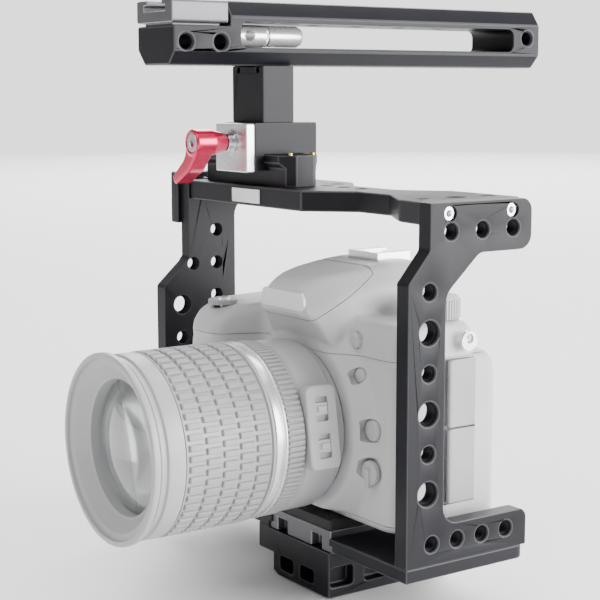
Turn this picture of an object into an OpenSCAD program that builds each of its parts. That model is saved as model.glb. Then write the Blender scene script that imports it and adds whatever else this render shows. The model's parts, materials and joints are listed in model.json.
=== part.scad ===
// DSLR camera cage with a clamp-on top handle, holding a camera and zoom lens on a sliding
// quick-release plate. +Z is up, the lens looks along -Y, and +X is the camera operator's left
// (the port side). The origin is the mouth of the tripod socket, under the lens axis.

/* [Cage] */
// Lens axis to the outer face of the port side plate
port_x = 75; // [74:0.5:80]
// Lens axis to the outer face of the grip side plate
grip_x = 113; // [112:0.5:120]
// Thickness of both side plates
plate_t = 7.5; // [6:0.5:8]
// Height of the side plates above the base plate
plate_h = 143.5; // [142:0.5:146]
// Tripod socket axis to the front edge of the base plate
cage_front = 30; // [30:1:32]
// Tripod socket axis to the rear edge of the base plate
cage_rear = 33; // [33:1:36]
// Thickness of the base plate
base_t = 5.6; // [5:0.1:6]
// Thickness of the top plate
top_t = 9; // [8:0.5:9]
// Height of the block under the base plate
block_h = 20.9; // [20.9:0.1:22]

/* [Threads] */
// Radius of the quarter-inch accessory holes
quarter_r = 3.175; // [3:0.005:3.2]
// Radius of the three-eighths accessory holes
eighths_r = 4.76; // [4.5:0.01:4.8]
// Spacing of the holes along the side plates
hole_pitch = 16; // [15.5:0.1:16.5]

/* [Top handle] */
// Middle of the post from the lens axis
post_x = -60; // [-62:0.5:-58]
// Width of the post and of the clamp block
post_w = 26; // [24:0.5:27]
// Length of the rail
rail_l = 74.5; // [70:0.5:74.5]
// Height of the rail
rail_h = 14; // [14:0.5:15]
// Height of the post
post_h = 25.3; // [22:0.1:28]
// Width of the handle
handle_w = 32; // [30:0.5:34]
// Height of the handle
handle_h = 28; // [28:0.5:30]
// Length of the handle
handle_l = 211; // [205:1:215]

/* [Camera] */
// Height of the lens axis above the base plate
axis_h = 46.2; // [46.2:0.1:47]
// Outer radius of the lens at its rim
rim_r = 38.5; // [38:0.1:39]
// Length of the lens in front of its mount
lens_l = 91; // [91:0.5:93]
// Travel of the front barrel when the lens zooms
zoom_travel = 30; // [20:1:32]

/* [Hidden] */
$fn = 48;
base_z = block_h;               // underside of the base plate
foot_z = block_h + base_t;      // top of the base plate, where the side plates stand
top_z = foot_z + plate_h;       // top of the cage
in_port = port_x - plate_t;     // inner faces of the side plates
in_grip = -(grip_x - plate_t);
gap = 0.1;                      // running clearance between sliding parts

// Base block and quick release
block_x0 = -31;
block_step_x = -19.4;
block_x1 = 23;
block_step_z = 9.5;
channel_x0 = -21;               // channel of the quick-release plate
channel_x1 = 23;
flange = 2;                     // undercut that keeps the plate in its channel
flange_h = 2.9;
channel_floor = base_z - 0.9;
channel_end = 27;
qr_y0 = -29;
qr_y1 = 21;
qr_top = 29.2;
pad_top = 33.5;                 // the camera stands on the rubber pad
gib_x0 = -26.6;
gib_x1 = -23.1;
gib_travel = 1;
knob_z = 13.2;

// Rail and clamp
rail_y = -5;
rail_x0 = in_grip + 1;
rail_x1 = rail_x0 + rail_l;
head_r = 10.55;                 // half widths of the rail's head and foot
foot_r = 8.25;
flare_z = top_z + rail_h - 5.8; // where the foot starts to flare into the head
rail_top = top_z + rail_h;
clamp_y0 = -20.5;
clamp_y1 = 13;
clamp_h = 14.1;
clamp_top = rail_top + gap + clamp_h;
clamp_foot = flare_z - 1.6;
stud_z = rail_top + 5.6;
lever_y0 = -46;
lever_y1 = -28.6;

// Post and handle
post_y0 = -16;
post_y1 = 0.5;
handle_z = clamp_top + post_h;
handle_y0 = -63;
handle_y1 = handle_y0 + handle_l;
handle_x0 = post_x - handle_w / 2;
handle_x1 = post_x + handle_w / 2;
shoe_seat = handle_z + 16.8;
shoe_y1 = -34.5;
slot_y0 = -29;
slot_y1 = 131;
slot_z = handle_z + 13.3;
slot_r = 5.5;

// Camera
lens_z = foot_z + axis_h;
mount_y = -30;
cam_z = pad_top;
cam_cover = 3.5;                // height of the bottom cover
cam_seam = lens_z + 32.3;       // where the top cover starts
cam_top = lens_z + 46.8;        // the shoulders beside the hump
cam_x0 = -74;
cam_x1 = 58;
cam_y0 = -22;
cam_y1 = 32;
shoulder_y1 = 20;               // rear of the shoulders
hump_r = 27;                    // half width of the hump over the prism
hump_top = lens_z + 67.8;
shutter_z = cam_top - 2.7;      // top of the grip under the shutter button
split_y = 4;                    // joint of the front and rear shells
wall = 2.4;

// ---- helpers -------------------------------------------------------------------------------

function unit(v) = v / norm(v);

// One corner of an outline, replaced by an arc of radius r
function corner(a, b, c, r, n) =
    let(u = unit(a - b), v = unit(c - b), half = acos(max(-1, min(1, u * v))) / 2,
        side = sign(u[0] * v[1] - u[1] * v[0]), mid = b + unit(u + v) * r / sin(half),
        start = b + u * r / tan(half) - mid, turn = side * (180 - 2 * half))
    [for (i = [0 : n]) let(t = turn * i / n)
        mid + [start[0] * cos(t) + start[1] * sin(t), start[1] * cos(t) - start[0] * sin(t)]];

// An outline given as [x, y, radius] corners, with its corners rounded
function outline(p, n = 6) =
    [for (i = [0 : len(p) - 1])
        let(a = p[(i + len(p) - 1) % len(p)], b = p[i], c = p[(i + 1) % len(p)])
        each b[2] > 0
            ? corner([a[0], a[1]], [b[0], b[1]], [c[0], c[1]], b[2], n)
            : [[b[0], b[1]]]];

function rect_points(x0, y0, x1, y1, r) =
    [[x0, y0, r], [x1, y0, r], [x1, y1, r], [x0, y1, r]];

// A block between two corners
module block(p, q) {
    translate(p) cube(q - p);
}

// A plate in the XY plane from z0 to z1
module plate_z(points, z0, z1) {
    translate([0, 0, z0]) linear_extrude(z1 - z0) polygon(outline(points));
}

// A plate whose outline is drawn in Y and Z, from x0 to x1
module plate_x(points, x0, x1) {
    translate([x0, 0, 0]) rotate([90, 0, 90]) linear_extrude(x1 - x0) polygon(outline(points));
}

// A bar whose section is drawn in X and Z, from y0 to y1
module plate_y(points, y0, y1) {
    translate([0, y1, 0]) rotate([90, 0, 0]) linear_extrude(y1 - y0) polygon(outline(points));
}

// Round bars along each axis, from a point
module rod_x(p, len, r, r2 = -1) {
    translate(p) rotate([0, 90, 0]) cylinder(h = len, r1 = r, r2 = r2 < 0 ? r : r2);
}

module rod_y(p, len, r, r2 = -1) {
    translate(p) rotate([-90, 0, 0]) cylinder(h = len, r1 = r, r2 = r2 < 0 ? r : r2);
}

module rod_z(p, len, r, r2 = -1) {
    translate(p) cylinder(h = len, r1 = r, r2 = r2 < 0 ? r : r2);
}

// A ring about the lens axis: dist is measured forward from the mount
module lens_ring(dist0, dist1, r_in, r_out) {
    translate([0, mount_y - dist0, lens_z]) rotate([90, 0, 0]) difference() {
        cylinder(h = dist1 - dist0, r = r_out, $fn = 96);
        translate([0, 0, -1]) cylinder(h = dist1 - dist0 + 2, r = r_in, $fn = 96);
    }
}

// A countersunk hole through a side plate whose outer face is at x
module plate_hole(x, side, y, z, r) {
    rod_x([x - plate_t - 1, y, z], 2 * plate_t + 2, r);
    rod_x([side > 0 ? x - 0.5 : x - 0.2, y, z], 0.7, side > 0 ? r : r + 0.7,
          side > 0 ? r + 0.7 : r);
}

// A socket-head screw pointing along +Z, its head's top at the origin
module screw(head_r, head_h, shank_r, shank_l) {
    difference() {
        cylinder(h = head_h, r = head_r, $fn = 32);
        translate([0, 0, -0.1]) cylinder(h = head_h * 0.6, r = head_r * 0.5, $fn = 6);
    }
    translate([0, 0, head_h]) cylinder(h = shank_l, r = shank_r, $fn = 24);
}

// ---- cage ----------------------------------------------------------------------------------

m3_r = 1.5;
m3_head = 2.75;
side_screw_x = [port_x - plate_t / 2, in_grip - plate_t / 2];
side_screw_y = [-10.7, 15.3];
// Screws up through the base block: [x, y, height of the face that the head sits in]
block_screws = [[-27, -22, block_step_z], [-27, 24, block_step_z], [-10, 29.6, 4], [14, 29.6, 4]];
block_screw_end = foot_z - 0.4;
top_screw_y = [-9.5, 22.8];
top_screw_z = top_z - top_t / 2;
grip_screw_y = [-12, 24];
block_fix_z = [top_z - 17, top_z - 0.6];
bottom_row_y = [-17.2, -4.2, 8.8, 21.8];
bottom_row_z = foot_z + 8.5;
column_y = -19.5;
column_z = foot_z + 29.2;

module base_plate() {
    color("dimgray") difference() {
        plate_z([[-grip_x, -cage_front, 2], [port_x, -cage_front, 0], [port_x, cage_rear, 5],
                 [-grip_x, cage_rear, 5]], base_z, foot_z);
        block([channel_x0, -cage_front - 1, base_z - 1], [channel_x1, channel_end, foot_z + 1]);
        block([channel_x0 - flange, -cage_front - 1, base_z - 1],
              [channel_x1 + flange, channel_end, channel_floor + 0.1 + flange_h + gap]);
        block([gib_x0 - gib_travel - 0.1, -15.2, base_z - 1],
              [channel_x0, 15.2, channel_floor + flange_h + 0.2]);
        for (x = side_screw_x) for (y = side_screw_y) {
            rod_z([x, y, base_z - 1], base_t + 2, m3_r + 0.05);
            rod_z([x, y, base_z - 1], 4.6, m3_head + 0.1);
        }
        for (p = block_screws) rod_z([p[0], p[1], base_z - 1], base_t + 2, m3_r + 0.05);
        for (x = [-95, -80, -65, 40, 54]) rod_z([x, 0, base_z - 1], base_t + 2, quarter_r);
        for (x = [-88, 47]) block([x - 3, 10, base_z - 1], [x + 3, 22, foot_z + 1]);
    }
}

module base_block() {
    window_w = 10.6;
    window_h = 6.2;
    color("dimgray") difference() {
        union() {
            plate_z([[block_x0, -cage_front, 0], [block_x1, -cage_front, 0],
                     [block_x1, cage_rear, 3], [block_x0, cage_rear, 3]], block_step_z, base_z);
            plate_y([[block_step_x, block_step_z + 1, 0], [block_step_x, 1.5, 0],
                     [block_step_x + 4, 0, 0], [block_x1, 0, 0], [block_x1, block_step_z + 1, 0]],
                    -cage_front, cage_rear);
        }
        block([channel_x0 - flange, -cage_front - 1, channel_floor],
              [channel_x1 + flange, channel_end, base_z + 1]);
        block([gib_x0 - gib_travel - 0.1, -15.2, 11], [channel_x0 - flange + 0.01, 15.2, base_z + 1]);
        // tripod sockets
        rod_z([0, 0, -1], 13, quarter_r);
        rod_z([0, 18, -1], 13, eighths_r);
        // windows in the front face, and two pockets in the port side
        for (x = [-9.1, 6.3])
            plate_y(rect_points(x - window_w / 2, 6.3 - window_h / 2,
                                x + window_w / 2, 6.3 + window_h / 2, 1.6),
                    -cage_front - 1, -cage_front + 11);
        for (y = [-23, -5])
            plate_x(rect_points(y - 6, 4.5, y + 6, 13, 1.6), block_x1 - 5, block_x1 + 1);
        rod_x([block_x0 - 1, 0, knob_z], gib_x0 - block_x0 + 1.2, 2.55);
        for (p = block_screws) {
            rod_z([p[0], p[1], -1], base_z + 2, m3_r + 0.05);
            rod_z([p[0], p[1], -1], p[2] + 4.6, m3_head + 0.1);
        }
    }
}

// Outline of the port side plate in Y and Z
port_outline = [
    [-cage_front, foot_z, 0], [-cage_front, top_z - 30.8, 3], [-19.5, top_z - 18.5, 3],
    [-19.5, top_z, 0], [cage_rear, top_z, 5], [cage_rear, top_z - 20.5, 6],
    [5.7, top_z - 20.5, 6], [-11.4, top_z - 36, 9], [-11.4, foot_z + 15.5, 7],
    [cage_rear, foot_z + 15.5, 4], [cage_rear, foot_z, 0],
];

// Outline of the grip side plate in Y and Z
grip_outline = [
    [-35, foot_z, 0], [-35, top_z - 50.5, 3], [-21, top_z - 37.7, 3], [-21, top_z, 0],
    [cage_rear, top_z, 4], [cage_rear, top_z - top_t - 1, 2], [5, top_z - top_t - 1, 8],
    [5, foot_z + 15.5, 7], [cage_rear, foot_z + 15.5, 4], [cage_rear, foot_z, 0],
];

// Blind holes up from the foot of a side plate
module foot_holes(x) {
    for (y = side_screw_y) rod_z([x, y, foot_z - 1], 9, m3_r + 0.05);
}

module port_side_plate() {
    color("dimgray") difference() {
        plate_x(port_outline, in_port, port_x);
        for (y = bottom_row_y) plate_hole(port_x, 1, y, bottom_row_z, quarter_r);
        for (i = [0 : 5])
            plate_hole(port_x, 1, column_y, column_z + i * hole_pitch,
                       i % 2 == 0 ? eighths_r : quarter_r);
        for (y = [-9, 7, 23]) plate_hole(port_x, 1, y, top_z - 11.5, quarter_r);
        for (y = top_screw_y) {
            rod_x([in_port - 1, y, top_screw_z], plate_t + 2, m3_r + 0.05);
            rod_x([port_x - 4.5, y, top_screw_z], 5, 3);
        }
        foot_holes(side_screw_x[0]);
    }
}

module grip_side_plate() {
    color("dimgray") difference() {
        plate_x(grip_outline, -grip_x, in_grip);
        for (y = bottom_row_y) plate_hole(-grip_x, -1, y, bottom_row_z, quarter_r);
        for (i = [0 : 2])
            plate_hole(-grip_x, -1, -5.5, top_z - 24.5 - i * hole_pitch, quarter_r);
        plate_hole(-grip_x, -1, -18.7, top_z - 24.5 - hole_pitch, quarter_r);
        for (i = [0 : 3])
            plate_hole(-grip_x, -1, -25, top_z - 60 - i * hole_pitch,
                       i % 2 == 0 ? eighths_r : quarter_r);
        for (y = grip_screw_y) {
            rod_x([-grip_x - 1, y, top_screw_z], plate_t + 2, m3_r + 0.05);
            rod_x([-grip_x - 1, y, top_screw_z], 4, m3_head + 0.1);
        }
        for (z = block_fix_z) rod_x([-grip_x - 1, -9.5, z], 7, m3_r + 0.05);
        foot_holes(side_screw_x[1]);
    }
}

module top_plate() {
    front = -20;
    color("dimgray") difference() {
        plate_z([
            [in_grip, front, 0], [-12, front, 0], [5.5, -2.5, 3], [28, -2.5, 9],
            [52, -17, 10], [in_port, -19, 0], [in_port, cage_rear, 0], [26, cage_rear, 10],
            [8, 18, 16], [-26, 18, 16], [-45, cage_rear, 12], [in_grip, cage_rear, 0],
        ], top_z - top_t, top_z);
        for (x = [-33, -20, -7]) rod_z([x, 9, top_z - top_t - 1], top_t + 2, quarter_r);
        for (i = [0 : 2])
            rod_z([54, -7 + 17 * i, top_z - top_t - 1], top_t + 2,
                  i == 1 ? eighths_r : quarter_r);
        for (p = [[-90, 22], [-40, 20]])
            rod_z([p[0], p[1], top_z - top_t - 1], top_t + 2, quarter_r);
        for (x = rail_screw_x) rod_z([x, rail_y, top_z - top_t - 1], top_t + 2, 2.05);
        for (y = top_screw_y)
            rod_x([in_port - 11, y, top_screw_z], 12, m3_r + 0.05);
        for (y = grip_screw_y) rod_x([in_grip - 1, y, top_screw_z], 12, m3_r + 0.05);
    }
}

// Every screw of the cage: through the side plates, the base block and the accessory block
module cage_screws() {
    color("silver") {
        for (y = top_screw_y)
            translate([port_x - 1.2, y, top_screw_z]) rotate([0, -90, 0])
                screw(m3_head, 3.3, m3_r, 13);
        for (y = grip_screw_y)
            translate([-grip_x + 0.2, y, top_screw_z]) rotate([0, 90, 0])
                screw(m3_head, 2.8, m3_r, 14);
        for (x = side_screw_x) for (y = side_screw_y)
            translate([x, y, base_z + 0.6]) screw(m3_head, 3, m3_r, 9);
        for (p = block_screws)
            translate([p[0], p[1], p[2] + 0.6])
                screw(m3_head, 3, m3_r, block_screw_end - p[2] - 3.6);
        for (z = block_fix_z)
            translate([-grip_x - 7.6, -9.5, z]) rotate([0, 90, 0]) screw(m3_head, 3, m3_r, 9);
    }
}

module accessory_block() {
    x0 = -grip_x - 8;
    color("dimgray") difference() {
        plate_z([[x0, -23, 3], [-grip_x, -23, 0], [-grip_x, 4, 0], [x0, 4, 3]],
                top_z - 21, top_z + 3.5);
        rod_x([x0 - 1, -9.5, top_z - 8.8], 10, quarter_r);
        for (z = block_fix_z) {
            rod_x([x0 - 1, -9.5, z], 10, m3_r + 0.05);
            rod_x([x0 - 1, -9.5, z], 4.4, m3_head + 0.1);
        }
    }
}

module name_badge() {
    color("whitesmoke")
        plate_y(rect_points(-67, top_z - 7.7, -44, top_z - 1.4, 0.4), -20.5, -20);
}

module quick_release_plate() {
    notch_w = 7.5;
    notch_h = 3;
    color("gray") difference() {
        union() {
            block([channel_x0 + gap, qr_y0, channel_floor + 0.1], [channel_x1 - gap, qr_y1, qr_top]);
            block([channel_x0 - flange + gap, qr_y0, channel_floor + 0.1],
                  [channel_x1 + flange - gap, qr_y1, channel_floor + flange_h]);
        }
        for (x = [-17, 9])
            block([x, qr_y0 - 1, channel_floor], [x + notch_w, qr_y0 + 4,
                                                  channel_floor + flange_h + notch_h]);
        rod_z([0, 2, channel_floor - 1], qr_top, quarter_r + 0.1);
        rod_z([0, 2, channel_floor - 1], 6, 8.1);
        for (x = [-14, 14]) block([x - 1.5, -10, channel_floor - 1], [x + 1.5, 12, qr_top + 1]);
    }
}

module quick_release_pad() {
    color([0.06, 0.06, 0.06]) difference() {
        plate_z(rect_points(channel_x0 + 1, qr_y0 + 0.6, channel_x1 - 1, qr_y1 - 1, 1.5),
                qr_top, pad_top);
        rod_z([0, 2, qr_top - 1], 7, quarter_r + 0.1);
        for (i = [0 : 8])
            block([channel_x0, qr_y0 + 5 + i * 5, pad_top - 0.5],
                  [channel_x1, qr_y0 + 6 + i * 5, pad_top + 1]);
    }
}

module camera_screw() {
    color("silver") difference() {
        union() {
            rod_z([0, 2, channel_floor + 1.4], 3.6, 8);
            rod_z([0, 2, channel_floor + 4.9], 13, quarter_r);
        }
        block([-8.5, 1, channel_floor], [8.5, 3, channel_floor + 3]);
    }
}

module lock_gib() {
    color("goldenrod") difference() {
        block([gib_x0, -15, 11.2], [gib_x1, 15, channel_floor + flange_h]);
        rod_x([gib_x0 - 1, 0, knob_z], 4, 1.95);
    }
}

module lock_knob() {
    knob_r = 7.1;
    shoulder = gib_x0 - gib_travel - 0.1;
    color("black") difference() {
        union() {
            rod_x([-45, 0, knob_z], 12, knob_r);
            rod_x([-33.1, 0, knob_z], 1.6, 4.2);
            rod_x([-31.6, 0, knob_z], shoulder + 31.6, 2.5);
            rod_x([shoulder - 0.5, 0, knob_z], gib_travel + 2.4, 1.9);
        }
        for (i = [0 : 11]) translate([-46, 0, knob_z]) rotate([i * 30, 0, 0])
            rod_x([0, 0, knob_r + 0.6], 12, 1.4);
    }
}

// ---- rail, clamp and handle ----------------------------------------------------------------

rail_screw_x = [rail_x0 + 10, rail_x0 + 58.5];
rail_pins = [[rail_x1 - 3, rail_y - 6], [rail_x1 - 3, rail_y + 6], [rail_x0 + 3, rail_y + 6]];

// Section of the rail in Y and Z, or of the space around it when it grows by the clearance
function rail_section(grow, drop) = [
    [rail_y - foot_r - grow, top_z - drop, 0], [rail_y - foot_r - grow, flare_z - grow * 0.5, 0],
    [rail_y - head_r - grow, flare_z + head_r - foot_r - grow * 0.5, 0],
    [rail_y - head_r - grow, rail_top + grow, 0], [rail_y + head_r + grow, rail_top + grow, 0],
    [rail_y + head_r + grow, flare_z + head_r - foot_r - grow * 0.5, 0],
    [rail_y + foot_r + grow, flare_z - grow * 0.5, 0], [rail_y + foot_r + grow, top_z - drop, 0],
];

module accessory_rail() {
    cut = 5.8;
    y0 = rail_y - head_r;
    y1 = rail_y + head_r;
    color("dimgray") difference() {
        intersection() {
            plate_x(rail_section(0, 0), rail_x0, rail_x1);
            plate_z([[rail_x0, y0 + cut, 0], [rail_x0 + cut, y0, 0], [rail_x1 - cut, y0, 0],
                     [rail_x1, y0 + cut, 0], [rail_x1, y1 - cut, 0], [rail_x1 - cut, y1, 0],
                     [rail_x0 + cut, y1, 0], [rail_x0, y1 - cut, 0]], top_z, rail_top + 1);
        }
        for (x = rail_screw_x) {
            rod_z([x, rail_y, top_z - 1], rail_h + 2, 2.05);
            rod_z([x, rail_y, rail_top - 5], 6, 3.7);
        }
        for (p = rail_pins) rod_z([p[0], p[1], rail_top - 4], 5, 1);
    }
}

module rail_screws() {
    color("silver") for (x = rail_screw_x)
        translate([x, rail_y, rail_top - 0.8]) rotate([180, 0, 0]) screw(3.5, 4.2, 2, 16);
}

module rail_stop_pins() {
    color("gold") for (p = rail_pins) rod_z([p[0], p[1], rail_top - 4], 5.2, 1);
}

clamp_x0 = post_x - post_w / 2;
clamp_x1 = post_x + post_w / 2;
post_screw_x = [post_x - 8, post_x + 8];
post_screw_y = [-12, -3.5];
plate_y0 = clamp_y0 - 4.7;

module clamp_block() {
    color("dimgray") difference() {
        block([clamp_x0, clamp_y0, clamp_foot], [clamp_x1, clamp_y1, clamp_top]);
        plate_x(rail_section(gap, 4), clamp_x0 - 1, clamp_x1 + 1);
        rod_y([post_x, clamp_y0 - 1, stud_z], 17, 3.05);
        rod_z([post_x, -8.5, rail_top - 1], 5, 3.05);
        for (x = post_screw_x) {
            rod_z([x, post_screw_y[1], rail_top - 1], clamp_h + 3, m3_r + 0.05);
            rod_z([x, post_screw_y[1], rail_top - 1], 4.6, m3_head + 0.1);
        }
        for (x = [-9, 9]) rod_y([post_x + x, clamp_y0 - 1, stud_z + 4], 7, 1.05);
    }
}

module clamp_plate() {
    color("whitesmoke") {
        difference() {
            block([clamp_x0, plate_y0, clamp_foot - 0.4], [clamp_x1, clamp_y0 - 0.2, clamp_top - 0.3]);
            rod_y([post_x, plate_y0 - 1, stud_z], 8, 3.05);
        }
        for (x = [-9, 9]) rod_y([post_x + x, clamp_y0 - 0.2, stud_z + 4], 4, 1);
    }
}

module clamp_pad() {
    color("goldenrod") rod_z([post_x, -8.5, rail_top + 0.05], 1.9, 3);
}

module clamp_stud() {
    color("silver") {
        rod_y([post_x, lever_y1 - 6, stud_z], 24, 3);
        rod_y([post_x, lever_y1 + 18, stud_z], 3, 3, 0.8);
    }
}

module lever_washers() {
    color("silver") difference() {
        union() {
            rod_y([post_x, plate_y0 - 1.1, stud_z], 1, 5.6);
            rod_y([post_x, plate_y0 - 3.3, stud_z], 2.2, 4.4);
        }
        rod_y([post_x, plate_y0 - 5, stud_z], 8, 3.05);
    }
}

// Outline of the lever's arm from the front: it leaves the hub downwards and curves outwards
function lever_arm() = [for (p = [
    [-6.2, 2, 0], [-6.3, -6, 9], [-18.4, -15.4, 1.6], [-16.8, -19.6, 1.6], [-4, -13, 12],
    [5.3, -3.2, 0],
]) [post_x + p[0], stud_z + p[1], p[2]]];

module clamp_lever() {
    color("crimson") difference() {
        union() {
            rod_y([post_x, lever_y0, stud_z], 10, 6.2);
            rod_y([post_x, lever_y0 + 10, stud_z], lever_y1 - lever_y0 - 10.1, 6.2, 4);
            plate_y(lever_arm(), lever_y0, lever_y0 + 10);
        }
        rod_y([post_x, lever_y1 - 6.1, stud_z], 20, 3.03);
        rod_y([post_x, lever_y0 - 6, stud_z], 9, 4.3);
        rod_y([post_x, lever_y0, stud_z], 20, 1.55);
    }
}

module lever_screw() {
    color("silver") translate([post_x, lever_y0 + 0.4, stud_z]) rotate([-90, 0, 0])
        screw(4.2, 2.5, 1.5, 8.2);
}

module handle_post() {
    color("gray") difference() {
        block([clamp_x0, post_y0, clamp_top], [clamp_x1, post_y1, handle_z]);
        for (x = post_screw_x) {
            rod_z([x, post_screw_y[1], clamp_top - 1], 9, m3_r + 0.05);
            rod_y([x, post_y0 - 1, handle_z - 1.7], 5, 1.6);
        }
        for (y = post_screw_y) rod_z([post_x, y, handle_z - 10], 11, m3_r + 0.05);
    }
}

// Screws of the post, above and below, and of the cold shoe
module handle_screws() {
    color("silver") {
        for (x = post_screw_x)
            translate([x, post_screw_y[1], rail_top + 0.6]) screw(m3_head, 3, m3_r, 17);
        for (y = post_screw_y)
            translate([post_x, y, slot_z - slot_r - 0.2]) rotate([180, 0, 0])
                screw(m3_head, 2.6, m3_r, 14);
        for (y = shoe_screw_y)
            translate([post_x, y, shoe_floor - 0.4]) rotate([180, 0, 0]) screw(2.3, 1.6, 1.25, 9);
    }
}

// Section of the handle in X and Z
handle_section = [
    [handle_x0, handle_z + 6.2, 0], [handle_x0 + 5.6, handle_z, 0],
    [handle_x1 - 5.6, handle_z, 0], [handle_x1, handle_z + 6.2, 0],
    [handle_x1, handle_z + handle_h - 7, 0], [handle_x1 - 5, handle_z + handle_h, 0],
    [handle_x0 + 5, handle_z + handle_h, 0], [handle_x0, handle_z + handle_h - 7, 0],
];
shoe_screw_y = [-57, -41];
shoe_top = handle_z + handle_h - 0.3;
shoe_floor = shoe_top - 4.7;    // floor of the cold shoe's slot

module handle_body() {
    color("dimgray") difference() {
        plate_y(handle_section, handle_y0, handle_y1);
        block([handle_x0 - 1, handle_y0 - 1, shoe_seat], [handle_x1 + 1, shoe_y1,
                                                       handle_z + handle_h + 1]);
        plate_x(rect_points(slot_y0, slot_z - slot_r, slot_y1, slot_z + slot_r, 3.5),
                handle_x0 - 1, handle_x1 + 1);
        for (p = [[-56.8, 9.9], [-39.4, 9.9], [140, 14.5]]) {
            rod_x([handle_x0 - 1, p[0], handle_z + p[1]], handle_w + 2, quarter_r);
            rod_x([handle_x1 - 0.8, p[0], handle_z + p[1]], 0.9, quarter_r, quarter_r + 0.9);
        }
        for (y = post_screw_y) {
            rod_z([post_x, y, handle_z - 1], 12, m3_r + 0.05);
            rod_z([post_x, y, slot_z - slot_r - 2.8], 4, m3_head + 0.1);
        }
        for (y = shoe_screw_y) rod_z([post_x, y, shoe_seat - 8], 9, 1.3);
        for (y = [20, 45, 70, 95, 120])
            rod_z([post_x, y, slot_z], handle_z + handle_h - slot_z + 1, quarter_r);
        rod_y([post_x, slot_y0 - 10, slot_z], 11, 3.05);
    }
}

module cold_shoe() {
    z0 = shoe_seat + 1.2;
    y0 = handle_y0 - 0.6;
    y1 = shoe_y1 - 1.2;
    color("gray") difference() {
        union() {
            plate_y(rect_points(handle_x0 + 0.3, z0, handle_x1 - 0.3, shoe_top, 1.4), y0, y1);
            block([handle_x0 + 4, handle_y0 + 1.5, shoe_seat], [handle_x1 - 4, y1 - 2, z0 + 2]);
        }
        block([post_x - 9.4, y0 - 1, shoe_floor], [post_x + 9.4, y1 - 3, shoe_floor + 2.5]);
        block([post_x - 6.3, y0 - 1, shoe_floor + 2.4], [post_x + 6.3, y1 - 3, shoe_top + 1]);
        for (y = shoe_screw_y) {
            rod_z([post_x, y, shoe_seat - 1], 9, 1.3);
            rod_z([post_x, y, shoe_floor - 2], 5, 2.4);
        }
    }
}

module accessory_screw() {
    head_y0 = slot_y0 + 2;
    collar_y0 = slot_y0 + 22;
    color("silver") {
        difference() {
            rod_y([post_x, head_y0, slot_z], collar_y0 - head_y0, 5);
            for (i = [0 : 17]) translate([post_x, 0, slot_z]) rotate([0, i * 20, 0])
                rod_y([5.3, head_y0 - 1, 0], 19.5, 0.6, $fn = 16);
            rod_x([post_x - 6, slot_y0 + 11.5, slot_z], 12, 2.6);
        }
        rod_y([post_x, collar_y0, slot_z], 17, 4.8);
        rod_y([post_x, collar_y0 + 17, slot_z], 1.6, 4.8, 4);
        rod_y([post_x, slot_y0 - 9.5, slot_z], 11.5, 3);
    }
}

// ---- camera --------------------------------------------------------------------------------

// Outline of the camera body from above; inset moves every face inwards
function body_outline(inset) = [
    [cam_x0 + inset, cam_y0 - 22 + inset, 12 - inset],
    [-46 - inset, cam_y0 - 22 + inset, 10 - inset],
    [-36 - inset, cam_y0 + inset, 4],
    [cam_x1 - inset, cam_y0 + inset, 9 - inset],
    [cam_x1 - inset, cam_y1 - inset, 4 - inset / 2],
    [cam_x0 + inset, cam_y1 - inset, 9 - inset],
];

// The part of the body between two depths and two heights
module body_slice(y0, y1, z0, z1, inset = 0) {
    intersection() {
        plate_z(body_outline(inset), z0, z1);
        block([-100, y0, z0 - 1], [100, y1, z1 + 1]);
    }
}

far = 100;
shell_z0 = cam_z + cam_cover;
throat_r = 27.2;                // bore of the lens mount
collar_r = 38;
lug_y = 12.8;
lug_z = lens_z + 39;
door_y = 5.6;                   // hinge axis of the port doors
door_y1 = 19;
shutter_xy = [-57, -32];
dial_xy = [44, 9];
flash_button_xz = [31.2, lens_z + 38.5];
bracket_button_xz = [34.9, lens_z + 24.4];
release_xz = [43, lens_z + 3];
selector_xz = [43, lens_z - 14.5];
flash_axis = [-8, hump_top - 3.2];
mirror_axis = [10.5, lens_z + 15];
button_r = 3.2;

module camera_front_shell() {
    color("lightgray") difference() {
        union() {
            body_slice(-far, split_y, shell_z0, cam_seam);
            lens_ring(-8.2, -1, throat_r, collar_r);
        }
        block([-collar_r, mount_y, cam_seam], [collar_r, cam_y0 + 1, cam_seam + 20]);
        body_slice(-far, far, shell_z0 - 1, cam_seam + 1, wall);
        rod_y([0, cam_y0 - 20, lens_z], 30, throat_r, $fn = 96);
        rod_y([bracket_button_xz[0], cam_y0 - 1, bracket_button_xz[1]], 5, button_r + 0.05);
        rod_y([release_xz[0], cam_y0 - 1, release_xz[1]], 5, 4.65);
        rod_y([selector_xz[0], cam_y0 - 1, selector_xz[1]], 5, 2.05);
    }
}

module camera_rear_shell() {
    color("lightgray") difference() {
        body_slice(split_y, far, shell_z0, cam_seam);
        body_slice(-far, far, shell_z0 - 1, cam_seam + 1, wall);
        block([cam_x1 - 1.6, door_y - 1.2, 43.6], [cam_x1 + 1, door_y1 + 0.4, cam_seam - 0.6]);
        block([-36, cam_y1 - 1.1, 42], [36, cam_y1 + 1, 94]);
        for (i = [0 : 3]) rod_y([46, cam_y1 - 6, 48 + 11 * i], 8, 3.05);
        rod_y([-50, cam_y1 - 6, 76], 8, 7.05);
        block([-65, cam_y1 - 7, 93.9], [-51, cam_y1 + 1, 101.1]);
    }
}

module camera_bottom_cover() {
    color("lightgray") difference() {
        plate_z(body_outline(0.4), cam_z, shell_z0);
        rod_z([0, 2, cam_z - 1], cam_cover + 2, quarter_r + 0.05);
    }
}

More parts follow.
